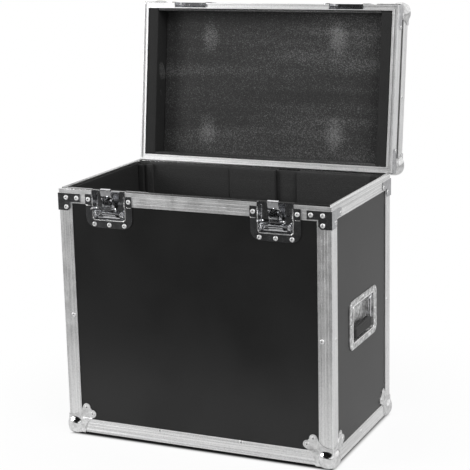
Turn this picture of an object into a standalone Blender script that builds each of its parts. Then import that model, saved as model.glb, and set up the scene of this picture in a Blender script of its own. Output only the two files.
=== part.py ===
"""Flight case with an open lid, modelled as an assembly of its real pieces.

The base stands on four ball corners. Plywood panels sit in the slots of aluminium
double-angle extrusions, and a tongued rim closes the mouth. The lid swings on two back
hinges. Two recessed butterfly latches at the front tilt, turn, lift their claw and fold.

Sizes are in millimetres. X runs to the right, Y to the back and Z up. The base is centred
on X and Y, its extrusions start at Z = 0, and the last step moves the whole case so that
the middle of its underside, with the lid open, is the origin.
"""

import math

import bmesh
import bpy
from mathutils import Matrix, Vector

MM = 0.001

# Case
CASE_WIDTH = 620.0
CASE_DEPTH = 365.0
BASE_HEIGHT = 545.0
LID_HEIGHT = 74.0
LID_SEAM = 0.4
LID_OPEN_DEGREES = 97.4

# Fits
GAP = 0.3
FUSE = 0.2
CUT_SPARE = 1.0
FLAT_DEGREES = 0.3
SHARP_DEGREES = 35.0
EMPTY_SIZE = 20.0
CORNER_STEPS = 6
PIN_SIDES = 12
SMALL_PIN_SIDES = 10
BARREL_SIDES = 20
DISC_SIDES = 28

# Finishes: colour, roughness and metallic
LAMINATE = ((0.035, 0.035, 0.037), 0.45, 0.0)
ALUMINIUM = ((0.78, 0.79, 0.80), 0.32, 1.0)
ZINC = ((0.62, 0.63, 0.65), 0.38, 1.0)
CHROME = ((0.72, 0.73, 0.75), 0.15, 1.0)
RUBBER = ((0.012, 0.012, 0.012), 0.7, 0.0)
FOAM = ((0.045, 0.045, 0.047), 0.95, 0.0)

# Panels and extrusions
PANEL_THICKNESS = 9.0
LEG = 31.0
LEG_THICKNESS = 1.5
FIN_THICKNESS = 1.5
FIN_REACH = 24.0
EDGE_CHAMFER = 1.0
GROOVE_WIDTH = 1.2
GROOVE_DEPTH = 0.35
GROOVE_PITCH = 7.0
GROOVE_COUNT = 3

# Rims
RIM_LEG = 30.0
RIM_FIN = 14.0
BASE_RIM_TOP = 3.0
LID_RIM_TOP = 5.3
TONGUE_FOOT = 3.4
TONGUE_CREST = 2.2
TONGUE_HEIGHT = 3.0
TONGUE_SIDE_PLAY = 1.5
TONGUE_TOP_PLAY = 0.4

# Rim corner braces
BRACE_THICKNESS = 1.5
BRACE_DROP = 9.0
BRACE_LENGTH = 52.0
BRACE_BAND = 18.0
BRACE_TAIL = 37.0
BRACE_TAIL_WIDTH = 27.5
BRACE_CHAMFER = 6.0
SEAT_INSET = 1.0
LID_BRACE_TAIL = 21.0

# Ball corners
BALL_RADIUS = 22.5
BALL_INSET = 14.0
BALL_SHEET = 1.7
BALL_POWER = 2.4
BALL_STEPS = 5
CORNER_SHEET = 1.5
CORNER_ARM = 36.0
CORNER_EDGE_RADIUS = 1.9
CORNER_SPARE = 1.0
CORNER_TIP = 3.7
NECK_RADIUS = 22.0
NECK_HEIGHT = 8.0
NECK_END = 105.0
NECK_STEPS = 4
LOBE_NEAR = 44.0
LOBE_FAR = 55.5
LOBE_RADIUS = 8.5
LOBE_START = -60.0
LOBE_END = 100.0
LOBE_STEPS = 5
LID_ARM_LONG = 41.0
LID_ARM_SHORT = 30.5
LID_ARM_CORNER = 5.0
STEP_WALL = 2.0

# Latches, with heights measured down from the seam
LATCH_FROM_END = 120.0
RECESS_HALF_WIDTH = 38.5
RECESS_DEPTH = 9.3
DISH_SHEET = 1.2
DISH_CORNER = 6.0
LATCH_FLANGE_SIDE = 17.0
LATCH_PLATE_DROP = 79.0
LATCH_RECESS_DROP = 62.0
LATCH_PLATE_EDGE = 7.5
LATCH_PLATE_CORNER = 22.0
KEEPER_PLATE_RISE = 4.0
KEEPER_PLATE_HEIGHT = 29.5
KEEPER_PLATE_CORNER = 5.0
KEEPER_RECESS_HEIGHT = 27.0
KEEPER_BAR_DEPTH = 4.5
KEEPER_BAR_THICKNESS = 2.4
KEEPER_BAR_RISE = 1.6
KEEPER_BAR_HEIGHT = 4.3

# Latch carriage, claw, spindle and wing, all given with the carriage pushed in
TILT_DEGREES = 17.0
PIVOT_DROP = 48.0
PIVOT_DEPTH = 2.2
PIVOT_RADIUS = 1.8
CARRIAGE_HALF_WIDTH = 15.5
CARRIAGE_DROP = 13.5
CARRIAGE_SHEET = 1.5
BARREL_RADIUS = 4.2
BARREL_FRONT_START = -70.0
BARREL_FRONT_END = 100.0
BARREL_FRONT_STEPS = 9
BARREL_BACK_START = 200.0
BARREL_BACK_END = 250.0
BARREL_BACK_STEPS = 3
LIP_REACH = 9.5
LIP_SET_BACK = 0.5
RAIL_WIDTH = 1.8
RAIL_LIP = 2.8
RAIL_LIP_SHEET = 1.2
CLAW_HALF_WIDTH = 12.0
CLAW_SHEET = 1.5
CLAW_FOOT_RISE = 6.5
CLAW_STEP_DROP = 7.5
CLAW_TOP_RISE = 2.2
CLAW_FRONT_DEPTH = 2.5
CLAW_HOOK_DEPTH = 8.6
CLAW_HOOK_DROP = 5.0
CLAW_HOOK_SHEET = 1.2
CLAW_NOSE = 0.9
CLAW_BEND_RISE = 2.4
CLAW_BEND_DROP = 0.6
CLAW_TRAVEL = 6.0
SPINDLE_RISE = 24.0
SPINDLE_DISC_RADIUS = 10.8
SPINDLE_DISC_SHEET = 2.4
SPINDLE_SHAFT_RADIUS = 2.4
CRANK_PIN_RADIUS = 1.6
YOKE_PLAY = 1.0
WING_AXIS_DROP = 6.5
WING_AXIS_DEPTH = 1.0
WING_HALF_WIDTH = 32.0
WING_LENGTH = 24.0
WING_SHEET = 1.8
WING_BARREL_RADIUS = 1.7
WING_BARREL_HALF = 6.7
WING_PIN_RADIUS = 0.9
WING_ROOT = 5.0
WING_NECK_INSET = 0.6
WING_NECK_RISE = 0.5
WING_SHOULDER_SHARE = 0.5
WING_DIP_SHARE = 0.4
WING_DIP_EDGE = 1.5
WING_DIP = 4.0
WING_BACK = 0.1
WING_LOBE_START = -80.0
WING_LOBE_STEPS = 8
DIMPLE_SHARE = 0.5
DIMPLE_DEPTH = 0.7
EAR_WIDTH = 2.4
EAR_RADIUS = 1.9
EAR_ROOT = 2.5
EAR_ANGLE = 80.0
EAR_STEPS = 6
WING_UNFOLD_DEGREES = 75.0

# Latch spring
SPRING_WIRE = 1.6
SPRING_COIL_RADIUS = 6.0
SPRING_PITCH = 2.3
SPRING_TURNS = 3
SPRING_CURL_POINTS = 9
SPRING_FROM_END = 4.2
SPRING_LEG_TOP = 13.0
SPRING_BAR_PLAY = 0.4
SPRING_BAR_DROP = 7.5

# Handles, with heights measured from the middle of the recess
HANDLE_SHIFT = 6.0
HANDLE_DROP = 276.0
HANDLE_FLANGE_SIDE = 19.5
HANDLE_FLANGE_BELOW = 13.5
HANDLE_FLANGE_ABOVE = 13.0
HANDLE_PLATE_CORNER = 17.0
HANDLE_RECESS_HALF_WIDTH = 66.0
HANDLE_RECESS_HALF_HEIGHT = 40.0
HANDLE_RECESS_DEPTH = 17.0
HANDLE_PIVOT_DROP = 8.0
BAIL_RADIUS = 3.0
BAIL_DEPTH = 6.0
BAIL_FROM_END = 9.0
BAIL_BEND = 6.0
GRIP_FROM_BAIL = 5.0
GRIP_FROM_BOTTOM = 6.0
GRIP_HEIGHT = 24.0
GRIP_THICKNESS = 15.0
GRIP_CORNER = 5.5
GRIP_STEPS = 3

# Hinges
HINGE_FROM_END = 120.0
HINGE_HALF_WIDTH = 30.0
HINGE_SHEET = 2.0
HINGE_AXIS_OUT = 4.0
HINGE_AXIS_DROP = 3.0
KNUCKLE_RADIUS = 3.6
HINGE_PIN_RADIUS = 1.9
LID_KNUCKLE_HALF = 10.0
BASE_LEAF_HEIGHT = 24.0
LID_LEAF_HEIGHT = 26.0

# Foam
FLOOR_FOAM = 27.0
WALL_FOAM_THICK = 25.0
WALL_FOAM_THIN = 5.0
FRONT_FOAM = 20.0
BACK_FOAM = 14.0
TRAY_DROP = 75.0
FOAM_BELOW_RIM = 2.0
BLOCK_SLOT_LEFT = 48.0
BLOCK_SLOT_RIGHT = 100.0
BLOCK_SLOT_DEPTH = 10.0
BLOCK_STEP_X = 65.0
BLOCK_STEP = 3.0
CORNER_BLOCK_NEAR = 19.0
CORNER_BLOCK_FAR = 40.0
CORNER_BLOCK_STEP = 7.0
CORNER_BLOCK_OVERLAP = 12.0
LID_FOAM_END = 25.0
LID_FOAM_SIDE = 6.0
LID_FOAM_BED = 16.0
LID_FOAM_SET_BACK = 1.5

# Worked out from the sizes above
HALF_WIDTH = CASE_WIDTH / 2
HALF_DEPTH = CASE_DEPTH / 2
SLOT = PANEL_THICKNESS + 2 * GAP
PANEL_FACE = LEG_THICKNESS + GAP
PANEL_BACK = PANEL_FACE + PANEL_THICKNESS
FIN_INNER = LEG_THICKNESS + SLOT
WALL = FIN_INNER + FIN_THICKNESS
LID_BOTTOM = BASE_HEIGHT + LID_SEAM
LID_TOP = LID_BOTTOM + LID_HEIGHT
LATCH_OFFSET = HALF_WIDTH - LATCH_FROM_END
LATCH_PLATE_BOTTOM = BASE_HEIGHT - LATCH_PLATE_DROP
LATCH_RECESS_BOTTOM = BASE_HEIGHT - LATCH_RECESS_DROP
LATCH_PLATE_TOP = BASE_HEIGHT - LATCH_PLATE_EDGE
LATCH_PLATE_HALF_WIDTH = RECESS_HALF_WIDTH + LATCH_FLANGE_SIDE
RECESS_BACK = RECESS_DEPTH + DISH_SHEET
RECESS_OUTER_HALF = RECESS_HALF_WIDTH + DISH_SHEET
NOTCH_HALF = RECESS_OUTER_HALF + GAP
NOTCH_DEPTH = RECESS_BACK + GAP
PLATE_OUT = GAP + CORNER_SHEET
KEEPER_BAR_TOP = LID_BOTTOM + KEEPER_BAR_RISE + KEEPER_BAR_HEIGHT
PIVOT_HEIGHT = BASE_HEIGHT - PIVOT_DROP
CARRIAGE_TOP = BASE_HEIGHT - CARRIAGE_DROP
CARRIAGE_BACK = RECESS_DEPTH - GAP
CARRIAGE_FACE = CARRIAGE_BACK - CARRIAGE_SHEET
CLAW_BACK = CARRIAGE_FACE - GAP
CLAW_FACE = CLAW_BACK - CLAW_SHEET
DISC_BACK = CLAW_FACE - GAP
DISC_FACE = DISC_BACK - SPINDLE_DISC_SHEET
CLAW_FOOT = PIVOT_HEIGHT + CLAW_FOOT_RISE
CLAW_STEP_HEIGHT = BASE_HEIGHT - CLAW_STEP_DROP
CLAW_TOP = KEEPER_BAR_TOP + CLAW_TOP_RISE
SPINDLE_HEIGHT = PIVOT_HEIGHT + SPINDLE_RISE
WING_AXIS_HEIGHT = SPINDLE_HEIGHT - WING_AXIS_DROP
CRANK_RADIUS = CLAW_TRAVEL / 2
SPRING_OUTER = RECESS_HALF_WIDTH - SPRING_FROM_END
SPRING_BAR_FORWARD = CARRIAGE_SHEET - LIP_SET_BACK + SPRING_BAR_PLAY + SPRING_WIRE / 2
HANDLE_HEIGHT = BASE_HEIGHT - HANDLE_DROP
HANDLE_RECESS_BOTTOM = HANDLE_HEIGHT - HANDLE_RECESS_HALF_HEIGHT
HANDLE_RECESS_TOP = HANDLE_HEIGHT + HANDLE_RECESS_HALF_HEIGHT
HANDLE_PIVOT_HEIGHT = HANDLE_RECESS_TOP - HANDLE_PIVOT_DROP
HANDLE_PLATE_HALF_WIDTH = HANDLE_RECESS_HALF_WIDTH + HANDLE_FLANGE_SIDE
BAIL_HALF_WIDTH = HANDLE_RECESS_HALF_WIDTH - BAIL_FROM_END
GRIP_LEVEL = HANDLE_RECESS_BOTTOM + GRIP_FROM_BOTTOM + GRIP_HEIGHT / 2
GRIP_HALF_LENGTH = BAIL_HALF_WIDTH - GRIP_FROM_BAIL
HINGE_OFFSET = HALF_WIDTH - HINGE_FROM_END
HINGE_AXIS = Vector((0.0, HALF_DEPTH + HINGE_AXIS_OUT, BASE_HEIGHT - HINGE_AXIS_DROP))
TRAY_LEVEL = BASE_HEIGHT - TRAY_DROP

X_AXIS = Vector((1.0, 0.0, 0.0))
Y_AXIS = Vector((0.0, 1.0, 0.0))
Z_AXIS = Vector((0.0, 0.0, 1.0))

# Each outer face has a frame: to the right, up and outwards, seen from outside
FACES = {
    "front": (X_AXIS, Z_AXIS, -Y_AXIS, HALF_DEPTH),
    "right": (Y_AXIS, Z_AXIS, X_AXIS, HALF_WIDTH),
    "back": (-X_AXIS, Z_AXIS, Y_AXIS, HALF_DEPTH),
    "left": (-Y_AXIS, Z_AXIS, -X_AXIS, HALF_WIDTH),
}


# Scene and collections

def clear_scene():
    for obj in list(bpy.data.objects):
        bpy.data.objects.remove(obj, do_unlink=True)


def make_collection(name):
    collection = bpy.data.collections.new(name)
    bpy.context.scene.collection.children.link(collection)
    return collection


def add_object(name, data):
    obj = bpy.data.objects.new(name, data)
    PARTS.objects.link(obj)
    return obj


# Basic solids

def mesh_of(obj):
    """The evaluated mesh of an object, with welded vertices."""
    bpy.context.view_layer.update()
    graph = bpy.context.evaluated_depsgraph_get()
    mesh = bpy.data.meshes.new_from_object(obj.evaluated_get(graph))
    work = bmesh.new()
    work.from_mesh(mesh)
    bmesh.ops.remove_doubles(work, verts=work.verts, dist=0.001 * MM)
    work.to_mesh(mesh)
    work.free()
    return mesh


def bake(obj):
    """Replaces a curve or a stack of modifiers by its plain mesh."""
    mesh = mesh_of(obj)
    baked = add_object(obj.name + "_mesh", mesh)
    baked.matrix_world = obj.matrix_world.copy()
    name = obj.name
    bpy.data.objects.remove(obj, do_unlink=True)
    baked.name = name
    return baked


def move_mesh(obj, matrix):
    """Moves the mesh itself, and turns its faces if the matrix mirrors."""
    obj.data.transform(matrix)
    if matrix.determinant() < 0:
        obj.data.flip_normals()
    return obj


def frame_matrix(x_axis, y_axis, z_axis, origin):
    """A matrix from three axis vectors and an origin in millimetres."""
    matrix = Matrix((x_axis, y_axis, z_axis)).transposed().to_4x4()
    matrix.translation = Vector(origin) * MM
    return matrix


def on_face(obj, face, shift=0.0):
    """Moves a solid drawn in a face frame on to that face of the case."""
    right, up, out, reach = FACES[face]
    origin = out * reach + right * shift
    return move_mesh(obj, frame_matrix(right, up, out, origin))


def prism(name, loops, low, high):
    """A solid with closed outlines in X and Y, from Z = low to Z = high."""
    curve = bpy.data.curves.new(name, "CURVE")
    curve.dimensions = "2D"
    curve.fill_mode = "BOTH"
    curve.extrude = (high - low) / 2 * MM
    for loop in loops:
        spline = curve.splines.new("POLY")
        spline.points.add(len(loop) - 1)
        for point, (x, y) in zip(spline.points, loop):
            point.co = (x * MM, y * MM, 0.0, 1.0)
        spline.use_cyclic_u = True
    solid = bake(add_object(name, curve))
    return move_mesh(solid, Matrix.Translation((0.0, 0.0, (low + high) / 2 * MM)))


def box(name, low, high, bevel=0.0, segments=2):
    """A box between two corners, with rounded edges where bevel is set."""
    low = Vector(low)
    high = Vector(high)
    size = high - low
    middle = (low + high) / 2
    mesh = bpy.data.meshes.new(name)
    work = bmesh.new()
    bmesh.ops.create_cube(work, size=MM)
    bmesh.ops.scale(work, vec=size, verts=work.verts)
    bmesh.ops.translate(work, vec=middle * MM, verts=work.verts)
    if bevel > 0.0:
        bmesh.ops.bevel(work, geom=list(work.edges), offset=bevel * MM, segments=segments,
                        profile=0.5, affect="EDGES")
    work.to_mesh(mesh)
    work.free()
    return add_object(name, mesh)


def rod(name, start, end, radius, sides=16):
    """A cylinder between two points."""
    start = Vector(start)
    end = Vector(end)
    along = end - start
    mesh = bpy.data.meshes.new(name)
    work = bmesh.new()
    bmesh.ops.create_cone(work, cap_ends=True, segments=sides, radius1=radius * MM,
                          radius2=radius * MM, depth=along.length * MM)
    work.to_mesh(mesh)
    work.free()
    turn = along.to_track_quat("Z", "Y").to_matrix().to_4x4()
    turn.translation = (start + end) / 2 * MM
    return move_mesh(add_object(name, mesh), turn)


def combine(target, tools, operation):
    """Applies exact Booleans of one kind, removes the tools and merges flat faces."""
    for tool in tools:
        modifier = target.modifiers.new(operation.title(), "BOOLEAN")
        modifier.operation = operation
        modifier.solver = "EXACT"
        modifier.object = tool
    result = bake(target)
    for tool in tools:
        bpy.data.objects.remove(tool, do_unlink=True)
    work = bmesh.new()
    work.from_mesh(result.data)
    bmesh.ops.dissolve_limit(work, angle_limit=math.radians(FLAT_DEGREES), verts=work.verts,
                             edges=work.edges)
    work.to_mesh(result.data)
    work.free()
    return result


def join(target, *tools):
    return combine(target, tools, "UNION")


def cut(target, *tools):
    return combine(target, tools, "DIFFERENCE")


def keep_inside(target, *tools):
    return combine(target, tools, "INTERSECT")


def copy_of(obj, name):
    return add_object(name, obj.data.copy())


def wire(name, points, radius, resolution=1):
    """A round wire along points in millimetres."""
    curve = bpy.data.curves.new(name, "CURVE")
    curve.dimensions = "3D"
    curve.bevel_depth = radius * MM
    curve.bevel_resolution = resolution
    curve.use_fill_caps = True
    spline = curve.splines.new("POLY")
    spline.points.add(len(points) - 1)
    for point, place in zip(spline.points, points):
        point.co = (place[0] * MM, place[1] * MM, place[2] * MM, 1.0)
    return bake(add_object(name, curve))


# Outlines

def arc(centre_x, centre_y, radius, start, end, steps):
    """Points on an arc, with angles in degrees."""
    points = []
    for step in range(steps + 1):
        angle = math.radians(start + (end - start) * step / steps)
        points.append((centre_x + radius * math.cos(angle), centre_y + radius * math.sin(angle)))
    return points


def rounded_rectangle(left, bottom, right, top, radius, steps=4):
    """A rectangle with the same radius on all corners."""
    corners = (
        (right - radius, bottom + radius, -90.0),
        (right - radius, top - radius, 0.0),
        (left + radius, top - radius, 90.0),
        (left + radius, bottom + radius, 180.0),
    )
    points = []
    for x, y, start in corners:
        points += arc(x, y, radius, start, start + 90.0, steps)
    return points


def mirrored(points):
    """The points again with X turned round, in reverse order."""
    return [(-x, y) for x, y in reversed(points)]


def groove_places():
    first = LEG / 2 - GROOVE_PITCH * (GROOVE_COUNT - 1) / 2
    return [first + GROOVE_PITCH * index for index in range(GROOVE_COUNT)]


def grooved_side():
    """Points along an outer face at Y = 0 from X = 0, with its grooves."""
    points = []
    for place in groove_places():
        points.append((place - GROOVE_WIDTH / 2, 0.0))
        points.append((place, GROOVE_DEPTH))
        points.append((place + GROOVE_WIDTH / 2, 0.0))
    return points


# Materials

def finish(obj, name, colour, roughness, metallic):
    """Gives an object its name and a material of its own."""
    obj.name = name
    obj.data.name = name
    material = bpy.data.materials.new(name)
    material.use_nodes = True
    shader = material.node_tree.nodes["Principled BSDF"]
    shader.inputs["Base Color"].default_value = (*colour, 1.0)
    shader.inputs["Roughness"].default_value = roughness
    shader.inputs["Metallic"].default_value = metallic
    obj.data.materials.clear()
    obj.data.materials.append(material)
    obj.data.shade_smooth()
    obj.data.set_sharp_from_angle(angle=math.radians(SHARP_DEGREES))
    return obj


def laminate(obj, name):
    return finish(obj, name, *LAMINATE)


def aluminium(obj, name):
    return finish(obj, name, *ALUMINIUM)


def zinc(obj, name):
    return finish(obj, name, *ZINC)


def chrome(obj, name):
    return finish(obj, name, *CHROME)


def rubber(obj, name):
    return finish(obj, name, *RUBBER)


def foam(obj, name):
    return finish(obj, name, *FOAM)


# Extrusions

def angle_outline():
    """The double angle: two outer legs, two inner fins, two slots and a hollow core."""
    side = grooved_side()
    other = [(y, x) for x, y in reversed(side)]
    outer = [(0.0, EDGE_CHAMFER), (EDGE_CHAMFER, 0.0)] + side
    outer += [(LEG, 0.0), (LEG, LEG_THICKNESS), (WALL, LEG_THICKNESS), (WALL, FIN_INNER)]
    outer += [(FIN_REACH, FIN_INNER), (FIN_REACH, WALL), (WALL, WALL)]
    outer += [(WALL, FIN_REACH), (FIN_INNER, FIN_REACH), (FIN_INNER, WALL)]
    outer += [(LEG_THICKNESS, WALL), (LEG_THICKNESS, LEG), (0.0, LEG)] + other
    core = [(LEG_THICKNESS, LEG_THICKNESS), (FIN_INNER, LEG_THICKNESS),
            (FIN_INNER, FIN_INNER), (LEG_THICKNESS, FIN_INNER)]
    return [outer, core]


def edge_angle(name, corner, leg_a, leg_b, along, length):
    """A straight length of double angle from a corner point of its outer edge."""
    if leg_a.cross(leg_b).dot(along) < 0:
        leg_a, leg_b = leg_b, leg_a
    bar = prism(name, angle_outline(), 0.0, length)
    move_mesh(bar, frame_matrix(leg_a, leg_b, along, corner))
    return aluminium(bar, name)


def make_uprights():
    length = BASE_HEIGHT - RIM_LEG - GAP - LEG - GAP
    for x_side, x_name in ((-1, "left"), (1, "right")):
        for y_side, y_name in ((-1, "front"), (1, "back")):
            corner = (x_side * HALF_WIDTH, y_side * HALF_DEPTH, LEG + GAP)
            edge_angle(f"upright_{y_name}_{x_name}", corner, -x_side * X_AXIS,
                       -y_side * Y_AXIS, Z_AXIS, length)


def make_edge_set(prefix, height, up_sign):
    """The four edges round the floor, or round the top of the lid."""
    inward = up_sign * Z_AXIS
    for y_side, name in ((-1, "front"), (1, "back")):
        corner = (-HALF_WIDTH + LEG, y_side * HALF_DEPTH, height)
        edge_angle(f"{prefix}_edge_{name}", corner, -y_side * Y_AXIS, inward, X_AXIS,
                   CASE_WIDTH - 2 * LEG)
    for x_side, name in ((-1, "left"), (1, "right")):
        corner = (x_side * HALF_WIDTH, -HALF_DEPTH + LEG, height)
        edge_angle(f"{prefix}_edge_{name}", corner, -x_side * X_AXIS, inward, Y_AXIS,
                   CASE_DEPTH - 2 * LEG)


def mitred_ring(name, outline, height, up_sign):
    """Lofts an outline of inward and upward offsets round the case with mitred corners.

    The faces are made by hand, because no tool sweeps an outline round square corners.
    """
    work = bmesh.new()
    loops = []
    for x_side, y_side in ((-1, -1), (1, -1), (1, 1), (-1, 1)):
        ring = []
        for inward, rise in outline:
            x = x_side * (HALF_WIDTH - inward)
            y = y_side * (HALF_DEPTH - inward)
            z = height + up_sign * rise
            ring.append(work.verts.new((x * MM, y * MM, z * MM)))
        loops.append(ring)
    for index, ring in enumerate(loops):
        after = loops[(index + 1) % len(loops)]
        for point in range(len(ring)):
            following = (point + 1) % len(ring)
            work.faces.new((ring[point], ring[following], after[following], after[point]))
    bmesh.ops.recalc_face_normals(work, faces=work.faces)
    mesh = bpy.data.meshes.new(name)
    work.to_mesh(mesh)
    work.free()
    return add_object(name, mesh)


def rim_leg_points():
    """The outer face of a rim leg from its free end to the seam, with grooves."""
    points = [(0.0, RIM_LEG)]
    for place in reversed(groove_places()):
        points.append((0.0, place + GROOVE_WIDTH / 2))
        points.append((GROOVE_DEPTH, place))
        points.append((0.0, place - GROOVE_WIDTH / 2))
    return points + [(0.0, EDGE_CHAMFER / 2), (EDGE_CHAMFER / 2, 0.0)]


def rim_inside_points(top):
    """The inner fin, the slot for the panel and the inside of the leg."""
    return [(WALL, 0.0), (WALL, RIM_FIN), (FIN_INNER, RIM_FIN), (FIN_INNER, top),
            (LEG_THICKNESS, top), (LEG_THICKNESS, RIM_LEG)]


def corner_wrap(name, x_side, y_side, arm, low_out, high_out, start, end):
    """A folded strip round one upright edge of the case, between two offsets outside it."""
    inner_x = HALF_WIDTH + low_out
    outer_x = HALF_WIDTH + high_out
    inner_y = HALF_DEPTH + low_out
    outer_y = HALF_DEPTH + high_out
    points = [(HALF_WIDTH - arm, inner_y), (inner_x, inner_y), (inner_x, HALF_DEPTH - arm),
              (outer_x, HALF_DEPTH - arm), (outer_x, outer_y), (HALF_WIDTH - arm, outer_y)]
    loop = [(x_side * x, y_side * y) for x, y in points]
    return prism(name, [loop], min(start, end), max(start, end))


def brace_trim(face, corner_side, seam, up_sign, tail):
    """What is cut from a brace below its band on one face."""
    half = HALF_WIDTH if face in ("front", "back") else HALF_DEPTH
    edge = half - BRACE_TAIL_WIDTH
    far = half - BRACE_LENGTH - CUT_SPARE
    band = BRACE_DROP + BRACE_BAND
    foot = BRACE_DROP + tail
    points = [(edge, band), (edge, foot - BRACE_CHAMFER),
              (edge + BRACE_CHAMFER + CUT_SPARE, foot + CUT_SPARE),
              (far, foot + CUT_SPARE), (far, band)]
    loop = [(corner_side * x, seam + up_sign * rise) for x, rise in points]
    return on_face(prism("trim", [loop], 0.0, BRACE_THICKNESS * 2), face)


def make_brace(x_side, y_side, seam, up_sign, tail):
    """One folded corner brace with the seat that rivets it to the rim."""
    across_face = "back" if y_side > 0 else "front"
    along_face = "right" if x_side > 0 else "left"
    across_side = -x_side if across_face == "back" else x_side
    along_side = y_side if along_face == "right" else -y_side
    brace = corner_wrap("brace", x_side, y_side, BRACE_LENGTH, GAP, GAP + BRACE_THICKNESS,
                        seam + up_sign * BRACE_DROP, seam + up_sign * (BRACE_DROP + tail))
    brace = cut(brace, brace_trim(across_face, across_side, seam, up_sign, tail),
                brace_trim(along_face, along_side, seam, up_sign, tail))
    seat_start = seam + up_sign * (BRACE_DROP + SEAT_INSET)
    seat_end = seam + up_sign * (BRACE_DROP + BRACE_BAND - SEAT_INSET)
    seat = corner_wrap("seat", x_side, y_side, BRACE_LENGTH - SEAT_INSET, -GROOVE_DEPTH - FUSE,
                       GAP + FUSE, seat_start, seat_end)
    return join(brace, seat)


def add_braces(rim, seam, up_sign, tail):
    """Rivets the four corner braces to a rim."""
    braces = [make_brace(x, y, seam, up_sign, tail) for x in (-1, 1) for y in (-1, 1)]
    return join(rim, *braces)


def rim_notch(name, offset, low, high):
    """The opening that a latch dish or a keeper needs in the rim and the panel."""
    outer = GAP + BRACE_THICKNESS + FUSE
    return on_face(box(name, (offset - NOTCH_HALF, low, -NOTCH_DEPTH),
                       (offset + NOTCH_HALF, high, outer)), "front")


def make_base_rim():
    middle = WALL / 2
    tongue = [(middle - TONGUE_FOOT / 2, 0.0), (middle - TONGUE_CREST / 2, -TONGUE_HEIGHT),
              (middle + TONGUE_CREST / 2, -TONGUE_HEIGHT), (middle + TONGUE_FOOT / 2, 0.0)]
    outline = rim_leg_points() + tongue + rim_inside_points(BASE_RIM_TOP)
    rim = mitred_ring("base_rim", outline, BASE_HEIGHT, -1)
    notches = []
    for side in (-1, 1):
        notches.append(rim_notch("notch", side * LATCH_OFFSET, BASE_HEIGHT - RIM_LEG - GAP,
                                 BASE_HEIGHT + TONGUE_HEIGHT + GAP))
    rim = cut(rim, *notches)
    return aluminium(add_braces(rim, BASE_HEIGHT, -1, BRACE_TAIL), "base_rim")


def lid_corner_strip(x_side, y_side):
    """The short angle between the lid rim and a ball corner."""
    inset = FUSE / 2
    return corner_wrap("strip", x_side, y_side, LEG, inset - LEG_THICKNESS, -inset,
                       LID_BOTTOM + RIM_LEG - 1.0, LID_TOP - LEG - GAP)


def make_lid_rim():
    middle = WALL / 2
    half_groove = TONGUE_FOOT / 2 + TONGUE_SIDE_PLAY
    depth = TONGUE_HEIGHT + TONGUE_TOP_PLAY
    groove = [(middle - half_groove, 0.0), (middle - half_groove, depth),
              (middle + half_groove, depth), (middle + half_groove, 0.0)]
    outline = rim_leg_points() + groove + rim_inside_points(LID_RIM_TOP)
    rim = mitred_ring("lid_rim", outline, LID_BOTTOM, 1)
    corners = [lid_corner_strip(x, y) for x in (-1, 1) for y in (-1, 1)]
    rim = join(rim, *corners)
    notches = []
    for side in (-1, 1):
        notches.append(rim_notch("notch", side * LATCH_OFFSET, LID_BOTTOM - GAP,
                                 LID_BOTTOM + RIM_LEG + GAP))
    rim = cut(rim, *notches)
    return aluminium(add_braces(rim, LID_BOTTOM, 1, LID_BRACE_TAIL), "lid_rim")


# Panels

def wall_panel(name, face, low, high, openings=()):
    """A panel in a wall, with rectangular openings given in the face frame."""
    half = (HALF_WIDTH if face in ("front", "back") else HALF_DEPTH) - WALL - GAP
    panel = on_face(box(name, (-half, low, -PANEL_BACK), (half, high, -PANEL_FACE)), face)
    cutters = []
    for left, bottom, right, top in openings:
        cutter = box("opening", (left, bottom, -PANEL_BACK - CUT_SPARE), (right, top, CUT_SPARE))
        cutters.append(on_face(cutter, face))
    if cutters:
        panel = cut(panel, *cutters)
    return laminate(panel, name)


def make_panels():
    low = WALL + GAP
    high = BASE_HEIGHT - BASE_RIM_TOP - GAP
    latch_openings = []
    keeper_openings = []
    keeper_top = LID_BOTTOM + KEEPER_RECESS_HEIGHT + DISH_SHEET + GAP
    for side in (-1, 1):
        left = side * LATCH_OFFSET - NOTCH_HALF
        right = side * LATCH_OFFSET + NOTCH_HALF
        latch_openings.append((left, LATCH_RECESS_BOTTOM - DISH_SHEET - GAP, right, BASE_HEIGHT))
        keeper_openings.append((left, LID_BOTTOM, right, keeper_top))
    half = HANDLE_RECESS_HALF_WIDTH + DISH_SHEET + GAP
    bottom = HANDLE_RECESS_BOTTOM - DISH_SHEET - GAP
    top = HANDLE_RECESS_TOP + DISH_SHEET + GAP
    wall_panel("base_panel_front", "front", low, high, latch_openings)
    wall_panel("base_panel_back", "back", low, high)
    wall_panel("base_panel_right", "right", low, high,
               [(HANDLE_SHIFT - half, bottom, HANDLE_SHIFT + half, top)])
    wall_panel("base_panel_left", "left", low, high,
               [(-HANDLE_SHIFT - half, bottom, -HANDLE_SHIFT + half, top)])
    lid_low = LID_BOTTOM + LID_RIM_TOP + GAP
    lid_high = LID_TOP - WALL - GAP
    wall_panel("lid_panel_front", "front", lid_low, lid_high, keeper_openings)
    for face in ("back", "right", "left"):
        wall_panel(f"lid_panel_{face}", face, lid_low, lid_high)
    x = HALF_WIDTH - WALL - GAP
    y = HALF_DEPTH - WALL - GAP
    floor = box("base_panel_floor", (-x, -y, PANEL_FACE), (x, y, PANEL_BACK))
    laminate(floor, "base_panel_floor")
    top_panel = box("lid_panel_top", (-x, -y, LID_TOP - PANEL_BACK), (x, y, LID_TOP - PANEL_FACE))
    laminate(top_panel, "lid_panel_top")


# Ball corners, drawn at an outer corner with the case on the plus side of all three axes

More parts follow.
